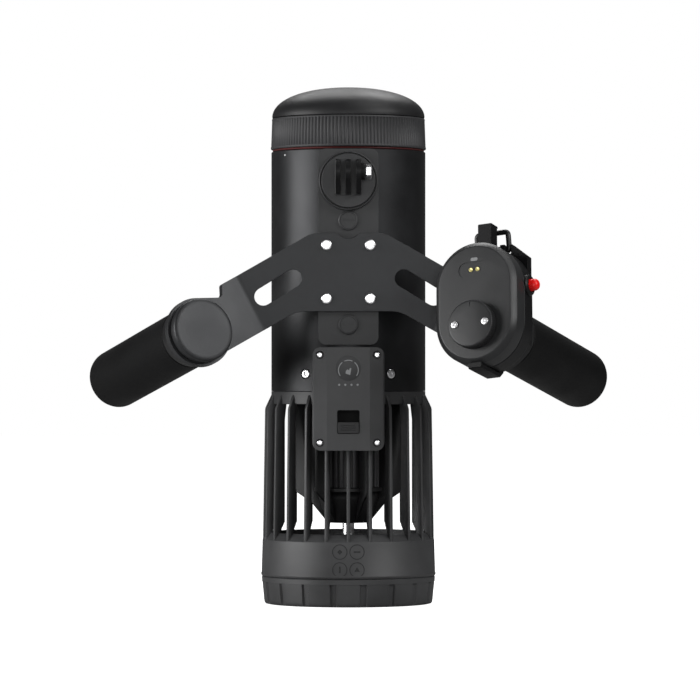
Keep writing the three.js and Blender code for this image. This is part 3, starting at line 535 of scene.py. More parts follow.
def build_camera_mount():
    face = RAIL_FACE - REST_GAP
    height = 5.2
    base = lathe("camera_mount_base", [(0, 0), (MOUNT_R - 0.4, 0), (MOUNT_R, 0.4),
                                       (MOUNT_R, height - 1.0), (MOUNT_R - 0.35, height - 0.6),
                                       (MOUNT_R - 0.8, height - 0.6),
                                       (MOUNT_R - 0.85, height - 2.4),
                                       (MOUNT_R - 1.45, height - 2.4),
                                       (MOUNT_R - 1.5, height - 0.25), (MOUNT_R - 1.75, height),
                                       (0, height)], 160, shifted(0, face, MOUNT_Z) @ UPRIGHT)
    foot = face - height
    bolt_y, bolt_z = foot - 8, MOUNT_BOLT_Z
    pad = upright("pad", plate_box(7.6, 238.4, 259.0, 0.8, 4), foot + 1, foot - 0.5)
    fuse(base, pad)
    make(soften(base, 0.2, 2), "rail", "body", ["camera_mount"])
    fingers = []
    for x in (-FINGER_PITCH, 0, FINGER_PITCH):
        outline = [(foot - 0.3, 238.8), (foot - 7, 238.8)]
        outline += arc(bolt_y + 0.4, bolt_z, 7.2, 270, 90, 16)[3:]
        outline += [(foot - 0.3, 258.8)]
        finger = prism("finger", outline, x - 1.45, x + 1.45, SIDEWAYS)
        hole = prism("hole", circle(bolt_y, bolt_z, 2.6, 32), x - 3, x + 3, SIDEWAYS)
        fingers.append(cut(finger, hole))
    seat_place = shifted(7.4, bolt_y, bolt_z) @ TOWARDS_X
    seat = lathe("seat", [(2.7, 0), (4.9, 0), (4.9, 2.0), (4.6, 2.3), (2.7, 2.3)], 48, seat_place)
    fingers.append(seat)
    make(soften(merged("camera_mount_fingers", fingers), 0.25, 2), "black", "body", ())

    nut = lathe("camera_mount_hex", [(2.6, 0), (3.5, 0), (3.8, 0.3), (3.8, 3.0), (3.5, 3.3),
                                     (2.6, 3.3)], 48, shifted(10.0, bolt_y, bolt_z) @ TOWARDS_X,
                shape=lambda a, i: hexagon(a) if 1 <= i <= 4 else 1)
    make(nut, "steel", "body", ["camera_mount_nut"])


# ---------------------------------------------------------------- handlebar plate
ARM_SLOPE = math.radians(30)
BEND_SLOPE = math.radians(27)
BEND_ANGLE = math.radians(30)
BEND = Vector((56.1, PLATE_FRONT, 176.4))
BEND_R = 8.0
FLANGE_AT = 39.0
FLANGE_R = 20.0
ARM_HALF = 17.5
BEND_STEPS = 8
HAND_SLOT = ((32, 190.3), (49.2, 179.8))
HAND_SLOT_R = 5.2


def unfolded_outline():
    """The whole plate before bending, in X and Z: middle, arms, and the tabs with round flanges."""
    fall = math.tan(ARM_SLOPE)
    along = Vector((math.cos(ARM_SLOPE), -math.sin(ARM_SLOPE)))
    across = Vector((math.sin(ARM_SLOPE), math.cos(ARM_SLOPE)))
    start = Vector((BEND.x, BEND.z))

    def tab(s, w):
        return tuple(start + along * s + across * w)

    notch_end = (14.8, 10.7)
    away = Vector((notch_end[0] - FLANGE_AT, notch_end[1]))
    touch = math.degrees(math.atan2(away.y, away.x) - math.acos(FLANGE_R / away.length))
    join = math.degrees(math.asin(ARM_HALF / FLANGE_R))
    flange = [tab(FLANGE_AT + FLANGE_R * math.cos(math.radians(a)),
                  FLANGE_R * math.sin(math.radians(a)))
              for a in [180 + join + (touch + 180 - join) * i / 48 for i in range(49)]]
    top, bottom = PLATE_Z + 22.5, PLATE_Z - 22.8
    points = rounded([(-29.7, bottom, 20), (29.7, bottom, 20), (90, bottom - fall * 60.3, 0),
                      (90, 60, 0), (-90, 60, 0), (-90, bottom - fall * 60.3, 0)], 10)
    under = [p for p in points if abs(p[0]) < 89]
    over = rounded([(21, top, 17), (-21, top, 17), (-90, top - fall * 69, 0), (-90, 300, 0),
                    (90, 300, 0), (90, top - fall * 69, 0)], 10)
    over = [p for p in over if abs(p[0]) < 89]
    corner = rounded([(*flange[-1], 0), (*tab(*notch_end), 3.0), (*tab(10.9, ARM_HALF), 2.0),
                      (*tab(-40, ARM_HALF), 0), (*tab(-40, 80), 0)], 5)
    corner = corner[1:-2]
    right = flange + corner
    left = [(-x, y) for x, y in reversed(right)]
    return under + right + over + left


def fold(p):
    """Where a point of the unfolded plate goes: past the bend line the arm leans to the front."""
    side = 1 if p.x >= 0 else -1
    q = Vector((p.x * side, p.y, p.z))
    outwards = Vector((math.cos(BEND_SLOPE), 0, -math.sin(BEND_SLOPE)))
    line = Vector((math.sin(BEND_SLOPE), 0, math.cos(BEND_SLOPE)))
    back = Vector((0, 1, 0))
    reach = BEND_R * math.tan(BEND_ANGLE / 2)
    away = q - BEND
    x, depth, up = away.dot(outwards), away.y, away.dot(line)
    if x <= -reach:
        return p
    turn = min(1, (x + reach) / (2 * reach)) * BEND_ANGLE
    if turn < BEND_ANGLE:
        centre = BEND - outwards * reach - Vector((0, BEND_R, 0))
        r = BEND_R + depth
        q = centre + r * (math.sin(turn) * outwards + math.cos(turn) * back) + up * line
    else:
        tangent = math.cos(turn) * outwards - math.sin(turn) * back
        inward = math.cos(turn) * back + math.sin(turn) * outwards
        q = BEND + x * tangent + depth * inward + up * line
    return Vector((q.x * side, q.y, q.z))


def screw_places():
    return [(x, PLATE_Z + z) for z in (15.5, -15.5) for x in (-12.65, 12.65)]


def build_handlebar():
    back = PLATE_FRONT + PLATE_T
    plate = upright("handlebar_bent_plate", unfolded_outline(), back, PLATE_FRONT)
    tools = [upright("notch", circle(0, 221, 7.8, 64), back + 1, PLATE_FRONT - 1)]
    for side in (-1, 1):
        slot = slanted_obround(*[(side * x, z) for x, z in HAND_SLOT], HAND_SLOT_R)
        tools.append(upright("slot", slot, back + 1, PLATE_FRONT - 1))
        along = Vector((math.cos(ARM_SLOPE), -math.sin(ARM_SLOPE))) * FLANGE_AT
        centre = (side * (BEND.x + along.x), BEND.z + along.y)
        tools.append(upright("hole", circle(*centre, 4.3, 32), back + 1, PLATE_FRONT - 1))
    for x, z in screw_places():
        tools.append(upright("hole", circle(x, z, 2.2, 24), back + 1, PLATE_FRONT - 1))
    cut(plate, *tools)

    # Cuts across the bend give it facets to turn on.
    bm = bmesh.new()
    bm.from_mesh(plate.data)
    reach = BEND_R * math.tan(BEND_ANGLE / 2)
    for side in (-1, 1):
        normal = Vector((side * math.cos(BEND_SLOPE), 0, -math.sin(BEND_SLOPE)))
        bend_line = Vector((side * BEND.x, BEND.y, BEND.z))
        for i in range(BEND_STEPS + 1):
            where = (bend_line + normal * (2 * reach * i / BEND_STEPS - reach)) * MM
            geometry = bm.verts[:] + bm.edges[:] + bm.faces[:]
            bmesh.ops.bisect_plane(bm, geom=geometry, dist=1e-7, plane_co=where, plane_no=normal)
    for v in bm.verts:
        v.co = fold(v.co / MM) * MM
    bm.normal_update()
    bm.to_mesh(plate.data)
    bm.free()
    smooth(plate.data)
    make(soften(plate, 0.55, 3, 45), "plate", "body", ["handlebar_plate"])

    for i, (x, z) in enumerate(screw_places()):
        place = shifted(x, PLATE_FRONT - REST_GAP, z) @ UPRIGHT
        screw = socket_screw(f"plate_screw_{i + 1}", place, 3.1, 1.4, 1.35, 1.9)
        make(screw, "steel", "body", [f"handlebar_screw_{i + 1}"])


# ---------------------------------------------------------------- grips
GRIP_R = 17.4
GRIP_END = -123.8


def build_grips():
    top, end, r = -PLATE_T - PART_GAP, GRIP_END, GRIP_R
    edge = arc(r - 5, end + 5, 5, 0, -90, 12)
    profile = [(0, end + 5.7), (11.3, end + 5.7), (11.3, top), (r - 0.6, top), (r, top - 0.6),
               (r, -13.4), (r - 0.35, -13.8), (r - 0.35, -14.5), (r, -14.9)] + edge
    profile += [(7.4, end), (7.0, end + 0.2), (6.8, end + 0.8), (0, end + 0.9)]
    for prefix, place in (("left", LEFT), ("right", RIGHT)):
        sleeve = lathe(f"{prefix}_grip_rubber", profile, 128, place)
        make(sleeve, "rubber", "body", [f"{prefix}_grip_sleeve"])
        collar = lathe(f"{prefix}_grip_collar", [(r - 0.5, top), (r - 0.3, top),
                                                 (r + 0.08, top - 0.4), (r + 0.08, -13.1),
                                                 (r - 0.2, -13.5), (r - 0.5, -13.5)], 128, place)
        make(collar, "pod", "body", ())
    cap = lathe("left_grip_cap_disc", [(0, 6), (15.6, 6), (17.4, 5.95), (18.0, 5.6), (18.3, 5.0),
                                       (18.3, 0.7), (17.9, 0.3), (8, 0.3), (8, 4.3), (0, 4.3)],
                128, LEFT)
    make(cap, "plate", "body", ["left_grip_cap"])


# ---------------------------------------------------------------- hand controller, right flange
REMOTE_R = 25.25
REMOTE_ENDS = (-0.7, 20.5)
REMOTE_BACK = 6.4
REMOTE_SPLIT = 18.0
CONTACT_AT = 29.2
BUTTON_AT = (21.5, 11.6)
PIVOT = (46.0, 3.4)
BAR = (57.1, 5.4)
BAIL_HALF = 9.8


def stack(name, rows, ends, place):
    """Obround outlines one above another: rows of (inset, z)."""
    rings = [[(x, y, z) for x, y in obround(ends, REMOTE_R - inset, 32)] for inset, z in rows]
    return loft(name, rings, place, sharp=14)


def rounded_path(points, r):
    """A path through points with its corners rounded."""
    steps = 8
    out = [Vector(points[0])]
    for before, here, after in zip(points, points[1:], points[2:]):
        here = Vector(here)
        start = here + (Vector(before) - here).normalized() * r
        end = here + (Vector(after) - here).normalized() * r
        for i in range(steps + 1):
            t = i / steps
            out.append(start * (1 - t) ** 2 + here * 2 * t * (1 - t) + end * t ** 2)
    return out + [Vector(points[-1])]


def pipe(name, points, r, place):
    """Round wire along a path."""
    sides = 24
    rings = []
    side = None
    for i, p in enumerate(points):
        ahead = (points[min(i + 1, len(points) - 1)] - points[max(i - 1, 0)]).normalized()
        side = side or ahead.orthogonal()
        side = (side - ahead * side.dot(ahead)).normalized()
        other = ahead.cross(side)
        rings.append([p + r * (math.cos(TAU * k / sides) * side + math.sin(TAU * k / sides) * other)
                      for k in range(sides)])
    return loft(name, rings, place, sharp=50)


def build_cradle():
    lean = math.degrees(math.asin(11 / 24.5))
    body_outline = arc(0, 0, 24.5, 180 + lean, 360 - lean, 48)
    body_outline += [(22.06, 41), (12, 49.5), (-12, 49.5), (-22.06, 41)]
    cradle = prism("remote_cradle_plate", body_outline, 0.3, REMOTE_BACK - 0.3, RIGHT)
    claw_outline = [(-20, 0.6), (-25, 0.6), (-28.6, 5.4), (-28.8, 30.4), (-28.2, 31.3),
                    (-25.6, 31.4), (-25.0, 30.0), (-26.3, 28.8), (-26.3, 6), (-20, 5)]
    claw = prism("claw", claw_outline, -4, 4, RIGHT @ SIDEWAYS)
    fuse(cradle, claw)
    tools = [prism("tool", plate_box(5, PIVOT[0] - 5, 70, 0.5), 3, 12, RIGHT),
             prism("tool", circle(0, 0, 8, 48), 2.2, 12, RIGHT)]
    for x in (-BAIL_HALF, BAIL_HALF):
        slot = [(x + dx, y) for dx, y in plate_box(2.1, PIVOT[0] - 2.4, 70, 0.5)]
        tools.append(prism("tool", slot, -3, 12, RIGHT))
    make(soften(cut(cradle, *tools), 0.45, 3), "black", "body", ["remote_cradle"])


def build_remote():
    rear = stack("remote_rear_case", [(0.6, REMOTE_BACK), (0.15, REMOTE_BACK + 0.15),
                                      (0, REMOTE_BACK + 0.6), (0, REMOTE_SPLIT - 0.6),
                                      (0.25, REMOTE_SPLIT - 0.2)], REMOTE_ENDS, RIGHT)
    lug_outline = [(44, 7.6), (58.9, 7.6), (59.2, 6.6), (60.3, 6.9), (60.4, 7.3), (60.4, 15.9),
                   (59.8, 16.6), (44, 16.6)]
    lug = soften(prism("remote_lug", lug_outline, -4.1, 4.1, RIGHT @ SIDEWAYS), 0.35, 3)
    make(lug, "black", "body", ())
    boss_place = RIGHT @ shifted(0, *BUTTON_AT) @ TOWARDS_X
    boss = lathe("remote_button_boss", [(3.75, 22), (6.2, 22), (6.2, 25.8), (5.6, 26.6),
                                        (5.0, 26.9), (4.1, 26.9), (3.75, 26.5)], 64, boss_place)
    make(boss, "black", "body", ())
    make(rear, "black", "body", ["remote_rear_shell"])
    button = lathe("remote_push_button", [(0, 22.4), (3.5, 22.4), (3.5, 28.6), (3.38, 29.5),
                                          (3.0, 30.4), (2.35, 31.1), (1.4, 31.6), (0, 31.8)], 64,
                   boss_place, sharp=80)
    make(button, "red", "remote_button", ["remote_button"])

    front = stack("remote_front_case", [(0.25, REMOTE_SPLIT + 0.15), (0, REMOTE_SPLIT + 0.5),
                  (0, REMOTE_FACE - 3.2), (0.1, REMOTE_FACE - 2.9), (2.75, REMOTE_FACE - 0.25),
                  (3.1, REMOTE_FACE - 0.03), (3.4, REMOTE_FACE)], REMOTE_ENDS, RIGHT)
    recess = [(x, y + CONTACT_AT) for x, y in slanted_obround((-5.2, 0), (5.2, 0), 4.6, 20)]
    cut(front, prism("tool", recess, REMOTE_FACE - 0.35, REMOTE_FACE + 1, RIGHT))
    make(front, "remote", "body", ["remote_front_shell"])
    light = [(x, y + 35.2) for x, y in rounded([(-2.4, -1.0, 0.9), (2.0, -1.0, 0.9),
                                                (2.4, 1.0, 0.9), (-2.0, 1.0, 0.9)], 5)]
    make(prism("remote_status_mark", light, REMOTE_FACE - 0.2, REMOTE_FACE + 0.06, RIGHT), "mark",
         "body")

    for i, x in enumerate((-2.05, 2.05)):
        at = RIGHT @ shifted(x, CONTACT_AT, 0)
        pin = lathe(f"charge_pin_{i + 1}", [(0, REMOTE_FACE - 2), (1.2, REMOTE_FACE - 2),
                                            (1.2, REMOTE_FACE + 0.2), (1.0, REMOTE_FACE + 0.4),
                                            (0.6, REMOTE_FACE + 0.4), (0.35, REMOTE_FACE + 0.25),
                                            (0, REMOTE_FACE + 0.2)], 32, at)
        make(pin, "gold", "body", [f"charge_contact_{i + 1}"])


DIAL_KNURLS = 72
DIAL_KNURL_DEPTH = 0.028  # of the dial's radius


def build_dial():
    steps = 6
    base = REMOTE_FACE
    profile = [(0, base + 0.3), (13.0, base + 0.3), (13.3, base + 0.5), (13.75, base + 0.8),
               (13.75, base + 5.6), (13.45, base + 6.1), (13.0, base + 6.4), (12.5, base + 6.5),
               (0, base + 6.5)]

    def knurl(angle, i):
        phase = (angle * DIAL_KNURLS / TAU) % 1
        return 1 - (DIAL_KNURL_DEPTH * max(0.0, math.cos(TAU * phase)) if i in (2, 3) else 0)

    at = RIGHT @ shifted(0, DIAL_AT, 0)
    dial = lathe("remote_mode_dial", profile, DIAL_KNURLS * steps, at, shape=knurl, sharp=55)
    pointer = prism("tool", plate_box(0.35, 9.6, 12.2, 0.3, 3), base + 6.2, base + 8, at)
    make(cut(dial, pointer), "remote", "remote_dial", ["remote_dial"])
    for i, x in enumerate((-9.4, 9.4)):
        screw = socket_screw(f"dial_screw_{i + 1}", at @ shifted(x, 0, base + 6.55), 2.1, 0.8,
                             0.85, 1.1)
        make(screw, "steel", "remote_dial", [f"remote_dial_screw_{i + 1}"])


def build_bail():
    half = BAIL_HALF
    corners = [(-5.7, *PIVOT), (-half, *PIVOT), (-half, *BAR), (half, *BAR), (half, *PIVOT),
               (5.7, *PIVOT)]
    wire = pipe("latch_bail_wire", rounded_path(corners, 2.2), 1.55, RIGHT)
    make(wire, "wire", "remote_bail", ["remote_bail"])


# ---------------------------------------------------------------- display box
def build_display():
    bottom, top = BOX_Z
    facet = BOX_FACE + 2.6
    plan = [(-BOX_HALF, -38), (-BOX_HALF, facet + 0.8), (-BOX_HALF + 0.8, facet - 0.25),
            (-12.35, BOX_FACE), (12.35, BOX_FACE), (BOX_HALF - 0.8, facet - 0.25),
            (BOX_HALF, facet + 0.8), (BOX_HALF, -38)]
    housing = prism("display_case", plan, bottom - 1, top + 1)
    boolean(housing, [upright("tool", plate_box(BOX_HALF, bottom, top, 4.7, 10), -30, -70)],
            "INTERSECT")
    tools = [lathe("tool", [(0, 80), (BARREL_R + 0.3, 80), (BARREL_R + 0.3, 170), (0, 170)], 192),
             lathe("tool", [(0, 80), (50.9, 80), (50.9, BARREL_LOW + 0.5), (0, BARREL_LOW + 0.5)],
                   192)]
    places = [middle(f"display_screw_{i}") for i in range(1, 5)]
    for p in places:
        tools.append(upright("tool", circle(p.x, p.z, 2.35, 40), BOX_FACE + 4.2, BOX_FACE - 3))
    well_low, well_high = 100.7, 114.3
    tools.append(upright("tool", plate_box(6.45, well_low, well_high, 1.0), BOX_FACE + 3,
                         BOX_FACE - 3))
    cut(housing, *tools)
    make(soften(housing, 0.35, 3, 12), "grey", "body", ["display_housing"])
    for i, p in enumerate(places):
        place = shifted(p.x, BOX_FACE + 3.3, p.z) @ UPRIGHT
        screw = socket_screw(f"case_screw_{i + 1}", place, 1.8, 1.7, 0.8, 0.95)
        make(screw, "steel", "body", [f"display_screw_{i + 1}"])

    # Gauge: a smoked disc with three arcs and a plain mark, and four level dots below.
    gauge = (low("gauge_lens").z + high("gauge_lens").z) / 2
    lens_place = shifted(0, BOX_FACE - 0.02, gauge) @ UPRIGHT
    lens = lathe("gauge_window", [(0, -0.6), (7.25, -0.6), (7.25, 0), (7.1, 0.05), (0, 0.05)], 96,
                 lens_place)
    make(lens, "lens", "body", ["gauge_lens"])
    for i, (start, end) in enumerate(((-35, 52), (66, 114), (128, 215))):
        band = arc(0, -1.1, 5.95, start, end, 24) + arc(0, -1.1, 5.45, end, start, 24)
        make(prism(f"gauge_arc_{i + 1}", band, 0, 0.1, lens_place), "mark", "body")
    glyph = [(-1.6, -3.0), (1.0, -3.9), (1.7, 0.0), (0.9, 0.2), (0.3, -1.2), (-0.5, -0.6),
             (-1.5, -1.6)]
    make(prism("gauge_glyph", glyph, 0, 0.1, lens_place), "mark", "body")
    for i in range(4):
        dot = circle((i - 1.5) * 3.54, 128.9, 0.6, 24)
        make(upright(f"level_dot_{i + 1}", dot, BOX_FACE + 0.2, BOX_FACE - 0.05), "mark", "body")

    # Painted shade: a near-black floor sheet and wall ring inside the switch recess stand in for
    # the shadow there.
    painted_shade_floor = upright("switch_well_painted_shade_floor", plate_box(6.4, well_low + 0.05, well_high - 0.05, 0.95),
                    BOX_FACE + 3.2, BOX_FACE + 2.85)
    make(painted_shade_floor, "well", "body")
    ring = upright("switch_well_painted_shade_wall", plate_box(6.44, well_low + 0.02, well_high - 0.02, 1.0),
                   BOX_FACE + 2.9, BOX_FACE + 0.25)
    cut(ring, upright("tool", plate_box(6.2, well_low + 0.25, well_high - 0.25, 0.8),
                      BOX_FACE + 5, BOX_FACE - 3))
    make(ring, "well", "body")
    slide_low = low("power_slider").z
    pad = upright("power_slide_pad", plate_box(6.1, slide_low, slide_low + 6.3, 0.7),
                  BOX_FACE + 2.7, BOX_FACE - 0.7)
    grooves = [upright("tool", plate_box(4.2, slide_low + z - 0.22, slide_low + z + 0.22, 0.2, 3),
                       BOX_FACE - 0.5, BOX_FACE - 2) for z in (1.9, 3.15, 4.4)]
    make(soften(cut(pad, *grooves), 0.3, 2), "slide", "power_slider", ["power_slider"])


# ---------------------------------------------------------------- cage, shroud and tail
def radial_plate(name, points, thickness, angle):
    """A plate in the radial plane at an angle, outlined by (radius, z)."""
    stand = Matrix.Rotation(angle, 4, "Z") @ Matrix.Rotation(math.pi / 2, 4, "X")
    return prism(name, points, -thickness / 2, thickness / 2, stand)


RIB_COUNT = 24
RIB_T = 1.9


def build_cage():
    collar = lathe("collar", [(BARREL_R - 0.4, 117.4), (BARREL_R, 117.8), (BARREL_R, COLLAR_TOP),
                              (BARREL_R - 0.15, COLLAR_TOP + 0.15), (40.9, COLLAR_TOP),
                              (40.9, 142), (37.5, 142), (37.5, 120.4), (41, 117.4)], 192)
    s = CAGE_LOW
    shroud = lathe("shroud", [(DUCT_R, s), (51.0, s), (51.35, s + 0.35), (SHROUD_R, s + 1.2),
                              (SHROUD_R, s + 1.6), (51.2, s + 2.0), (50.65, 37.4), (50.45, 38.0),
                              (49.9, 38.3), (49.6, 38.7), (47.4, 41.8), (46.9, 42.0),
                              (DUCT_R, 42.0)], 192)
    rib_outline = [(46.3, 37.5), (50.4, 37.6), (50.35, 43), (49.15, 114.2), (48.9, 115.4),
                   (45.2, 123.2), (42.5, 119.5), (44, 108), (44, 47), (46.3, 43)]
    ribs = [radial_plate("rib", rib_outline, RIB_T, TAU * i / RIB_COUNT - math.pi / 2)
            for i in range(RIB_COUNT)]
    ribs = [baked(soften(rib, 0.45, 3)) for rib in ribs]
    make(merged("tail_cage", [collar, shroud] + ribs), "cage", "body", ["cage"])


SHROUD_SLOPE = 0.029  # how much the shroud widens towards its foot
MARK_R = 50.81  # the shroud's radius at the upper marks
MARK_Z = (32.2, 21.9)
MARK_X = 5.0


def wrapped(name, outline, hole, x, z, r):
    """A thin mark laid on the round shroud: an outline with a hole, wrapped round its axis."""
    proud, sunk = 0.07, -0.3
    bm = bmesh.new()
    rows = []
    for loop, depth in ((outline, sunk), (outline, proud), (hole, proud), (hole, sunk)):
        ring = []
        for px, pz in loop:
            angle = (x + px) / r
            out = r + depth - pz * SHROUD_SLOPE
            ring.append(bm.verts.new((out * math.sin(angle), -out * math.cos(angle), z + pz)))
        rows.append(ring)
    count = len(outline)
    for a, b in zip(rows, rows[1:] + rows[:1]):
        for i in range(count):
            j = (i + 1) % count
            bm.faces.new((a[i], a[j], b[j], b[i]))
    return finish_mesh(name, bm)


def build_band_marks():
    """Four plain ring marks with simple shapes inside, two by two on the front of the shroud."""
    shapes = [
        [(1.5, 0.0), (0.0, 1.5), (-1.5, 0.0), (0.0, -1.5)],
        [(1.9, 0.45), (-1.9, 0.45), (-1.9, -0.45), (1.9, -0.45)],
        [(0.45, 1.9), (-0.45, 1.9), (-0.45, -1.9), (0.45, -1.9)],
        [(1.6, -1.2), (0.0, 1.6), (-1.6, -1.2), (0.0, -0.9)],
    ]
    places = [(x, z) for z in MARK_Z for x in (-MARK_X, MARK_X)]
    for i, (x, z) in enumerate(places):
        r = MARK_R + (MARK_Z[0] - z) * SHROUD_SLOPE
        ring = wrapped(f"band_ring_{i + 1}", circle(0, 0, 4.4, 48), circle(0, 0, 3.95, 48), x, z, r)
        make(ring, "dark_mark", "body")
        outer = shapes[i]
        inner = [(px * 0.15, pz * 0.15) for px, pz in outer]
        make(wrapped(f"band_shape_{i + 1}", outer, inner, x, z, r), "dark_mark", "body")


def airfoil_blade(root, tip, chords, pitches, thickness, sweep, sections, around):
    """Rings of an airfoil from root to tip, wrapped round the z axis."""
    rings = []
    for s in range(sections + 1):
        t = s / sections
        radius = root + (tip - root) * t
        chord = chords[0] + (chords[1] - chords[0]) * t ** 0.8
        chord *= 1 if t < 0.9 else math.sqrt(max(0.05, 1 - ((t - 0.9) / 0.1) ** 2 * 0.75))
        pitch = pitches[0] + (pitches[1] - pitches[0]) * t
        ring = []
        for k in range(around):
            a = TAU * k / around
            u = math.cos(a) / 2
            camber = (0.25 - u * u) * 0.12 * chord
            along = u * chord - sweep * t * t
            across = math.sin(a) / 2 * thickness * (1 - 0.55 * t) * (1 - 0.35 * u) + camber
            turn = (along * math.cos(pitch) - across * math.sin(pitch)) / radius
            z = along * math.sin(pitch) + across * math.cos(pitch)
            ring.append((radius * math.cos(turn), radius * math.sin(turn), z))
        rings.append(ring)
    return rings


TAIL_NOTCHES = 18
NOTCH_W = 4.3
NOTCH_DEPTH = 0.024  # of the ring's radius
GUARD_VANES = 7


def build_tail():
    steps = 24

    def notched(angle, i):
        if i not in (3, 4, 5):
            return 1
        phase = abs((angle * TAIL_NOTCHES / TAU) % 1 - 0.5)
        half = 0.5 * NOTCH_W / (TAU * 50.3 / TAIL_NOTCHES)
        return 1 - (NOTCH_DEPTH if phase < half else 0)

    profile = [(DUCT_R, 0), (48.0, 0), (48.9, 0.2), (49.45, 0.9), (49.7, 2.4), (50.75, 13.0),
               (50.95, 13.1), (51.05, TAIL_TOP - 0.5), (50.7, TAIL_TOP), (DUCT_R, TAIL_TOP)]
    ring = lathe("ring", profile, TAIL_NOTCHES * steps, shape=notched, sharp=30)
    hub = lathe("hub", [(0, 0), (7.2, 0), (8.0, 0.25), (9.1, 1.6), (9.5, 3), (9.5, 10.2),
                        (8.8, 11), (0, 11)], 96)
    vanes = []
    for i in range(GUARD_VANES):
        rings = airfoil_blade(8.5, 46.4, (10, 10), (1.25, 1.25), 2.0, 0, 10, 20)
        place = Matrix.Rotation(TAU * i / GUARD_VANES, 4, "Z") @ shifted(0, 0, 6.2)
        vanes.append(loft("vane", rings, place, sharp=60))
    make(merged("tail_grip_ring", [ring, hub] + vanes), "cage", "tail_ring", ["tail_ring"])


# ---------------------------------------------------------------- motor pod and propeller
CAN_FINS = 30
POD_VANE_ANGLES = (53, 113, 173, 233, 293, 353)
BLADES = 3


def build_pod():
    can = 17.4
    pod = lathe("pod", [(37.2, 124), (37.2, 131), (15.6, 131), (15.6, 67), (8.1, 67), (8.1, 60),
                        (5, 60), (5, 53.5), (7.1, 53.5), (7.1, 47.5), (11.6, 47.5), (12.2, 47.8),
                        (13.4, 49.4), (17.2, 61.4), (17.5, 62.4), (17.5, 65.8), (19.8, 65.9),
                        (20.0, 66.1), (20.0, 67.9), (19.8, 68.1), (can, 68.2), (can, 124)], 128)
    fin_outline = [(can - 0.5, 68.3), (18.7, 68.3), (18.7, 124.2), (can - 0.5, 124.2)]
    fins = [radial_plate("fin", fin_outline, 2.3, TAU * (i + 0.5) / CAN_FINS)
            for i in range(CAN_FINS)]
    fins = [baked(soften(fin, 0.3, 2)) for fin in fins]
    make(merged("motor_can_fins", fins), "ring", "body", ())
    vanes = [radial_plate("vane", [(can - 0.5, 124.5), (31.5, 124.5), (31.5, 66.6), (30.9, 65.4),
                                   (22, 59.3), (12.6, 47.8), (12.0, 50), (16, 62)], 1.8,
                          math.radians(a)) for a in POD_VANE_ANGLES]
    vanes = [baked(soften(v, 0.4, 2)) for v in vanes]
    make(merged("motor_pod", [pod] + vanes), "pod", "body", ["motor_housing"])


def build_propeller():
    bottom, top = 20.0, 40.6
    hub = lathe("hub", [(3.6, bottom), (8.2, bottom), (8.6, bottom + 0.4), (9.6, bottom + 3),
                        (9.6, top - 3), (9.2, top - 1.2), (8.2, top), (3.6, top)], 96)
    blades = []
    for i in range(BLADES):
        rings = airfoil_blade(8.6, 44.4, (17, 24), (0.95, 0.42), 3.0, 7, 24, 36)
        place = Matrix.Rotation(TAU * i / BLADES, 4, "Z") @ shifted(0, 0, (bottom + top) / 2 - 1.5)
        blades.append(loft("blade", rings, place, sharp=60))
    make(merged("propeller_screw", [hub] + blades), "black", "propeller", ["propeller"])
    shaft = lathe("drive_shaft", [(0, low("motor_shaft").z), (3.0, low("motor_shaft").z),
                                  (3.5, 16.4), (3.5, 121.5), (3.0, 122), (0, 122)], 64)
    make(shaft, "steel", "propeller", ["motor_shaft"])

    def wrench_flats(angle, i):
        return min(hexagon(angle), 1.12) if i in (4, 5, 6) else 1

    nut = lathe("propeller_cap_nut", [(0, 13), (2.5, 13.2), (4.4, 14.2), (5.2, 15.4), (5.5, 15.6),
                                      (5.6, 16.2), (5.6, 19.4), (5.4, 19.7), (3.65, 19.7),
                                      (3.65, 15.6), (0, 15.6)], 96, shape=wrench_flats)
    make(nut, "steel", "propeller", ["propeller_nut"])


# ---------------------------------------------------------------- pieces kept from the frame
def finish_inner_pieces():
    kinds = {
        "battery_pack": "battery", "battery_lid": "black",
        "driver_board": "board", "display_board": "board", "remote_board": "board",
        "motor_lid": "hull", "motor_stator": "copper", "motor_rotor": "magnet",
        "lower_bearing": "steel", "upper_bearing": "steel", "shaft_seal": "rubber",
        "left_grip_core": "aluminium", "right_grip_core": "aluminium",
        "left_grip_bolt": "steel", "right_grip_bolt": "steel",
    }
    for name, kind in kinds.items():
        kept = frame["nodes"][name]
        kept.data.materials.clear()
        kept.data.materials.append(MATERIAL[kind])


# ---------------------------------------------------------------- studio
FLOOR_GLOW = 1.0
FLOOR_HALF = 6
FLOOR_GAP = 0.0002  # metres under the tail
ROOM_LIGHT = 0.07


def seen_or_lit(tree, seen, lit, output):
    """The camera sees one shader, and the light that bounces meets the other."""
    path = tree.nodes.new("ShaderNodeLightPath")
    mix = tree.nodes.new("ShaderNodeMixShader")
    tree.links.new(path.outputs["Is Camera Ray"], mix.inputs["Fac"])
    tree.links.new(lit.outputs[0], mix.inputs[1])
    tree.links.new(seen.outputs[0], mix.inputs[2])
    tree.links.new(mix.outputs["Shader"], tree.nodes[output].inputs["Surface"])


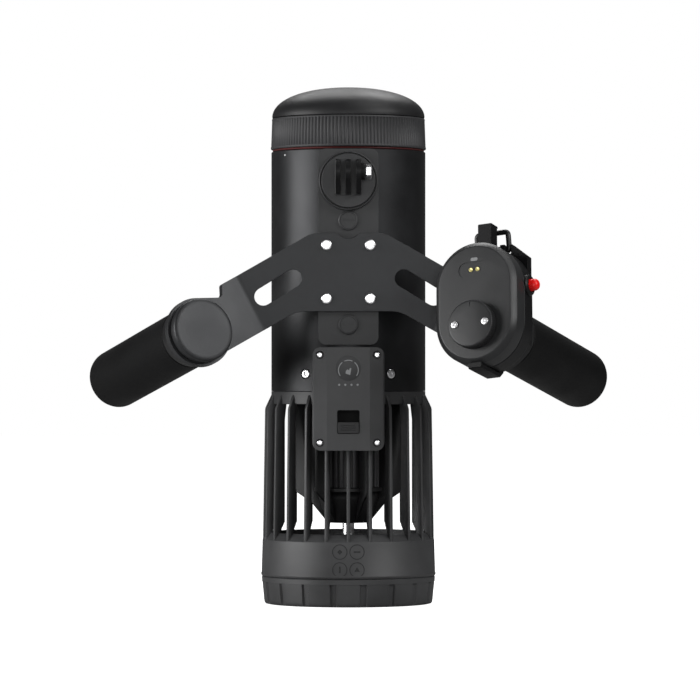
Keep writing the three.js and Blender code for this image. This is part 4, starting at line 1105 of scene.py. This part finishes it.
def build_stage():
    bm = bmesh.new()
    bmesh.ops.create_grid(bm, x_segments=1, y_segments=1, size=FLOOR_HALF)
    mesh = bpy.data.meshes.new("studio_floor")
    bm.to_mesh(mesh)
    bm.free()
    floor = placed("studio_floor", mesh)
    material = bpy.data.materials.new("studio_white")
    material.use_nodes = True
    tree = material.node_tree
    shader = tree.nodes["Principled BSDF"]
    shader.inputs["Base Color"].default_value = (0.75, 0.75, 0.75, 1)
    shader.inputs["Roughness"].default_value = 0.9
    shader.inputs["Emission Color"].default_value = (1, 1, 1, 1)
    shader.inputs["Emission Strength"].default_value = FLOOR_GLOW
    dim = tree.nodes.new("ShaderNodeBsdfDiffuse")
    dim.inputs["Color"].default_value = (0.35, 0.35, 0.35, 1)
    seen_or_lit(tree, shader, dim, "Material Output")
    mesh.materials.append(material)
    floor.location.z = low("tail_ring").z * MM - FLOOR_GAP

    world = bpy.data.worlds.new("studio")
    bpy.context.scene.world = world
    world.use_nodes = True
    tree = world.node_tree
    back = tree.nodes["Background"]
    seen = tree.nodes.new("ShaderNodeBackground")
    back.inputs["Color"].default_value = (1, 1, 1, 1)
    back.inputs["Strength"].default_value = ROOM_LIGHT
    seen.inputs["Color"].default_value = (1, 1, 1, 1)
    seen.inputs["Strength"].default_value = 1.0
    seen_or_lit(tree, seen, back, "World Output")


LIT_AT = Vector((0, 0, 0.16))


def softbox(name, place, size, power):
    light = bpy.data.lights.new(name, "AREA")
    light.shape, light.size, light.size_y, light.energy = "RECTANGLE", size[0], size[1], power
    made = placed(name, light)
    made.location = place
    made.rotation_euler = (LIT_AT - Vector(place)).to_track_quat("-Z", "Y").to_euler()


def build_lights():
    softbox("key_left", (-1.35, -0.45, 0.25), (1.0, 0.9), 22)
    softbox("key_right", (1.05, -0.85, 0.80), (0.8, 0.4), 9.5)
    softbox("front", (-0.1, -3.3, 0.45), (1.3, 1.0), 15)
    softbox("top", (0.45, -0.2, 1.25), (0.5, 0.5), 3)
    softbox("back_high", (0.0, 1.1, 1.5), (1.2, 0.7), 14)


def build_camera():
    camera = bpy.data.cameras.new("photo_camera")
    camera.sensor_width = 36
    camera.lens = 212.7
    camera.shift_x, camera.shift_y = 0.0023, 0.0271
    made = placed("photo_camera", camera)
    made.location = (0, -2.44, 0.138)
    made.rotation_euler = (math.pi / 2, 0, 0)
    camera.clip_start, camera.clip_end = 0.05, 50
    bpy.context.scene.camera = made


build_nose()
build_hull()
build_rail()
build_camera_mount()
build_handlebar()
build_grips()
build_cradle()
build_remote()
build_dial()
build_bail()
build_display()
build_cage()
build_band_marks()
build_tail()
build_pod()
build_propeller()
finish_inner_pieces()
build_stage()
build_lights()
build_camera()
bpy.context.scene.view_settings.view_transform = "Standard"
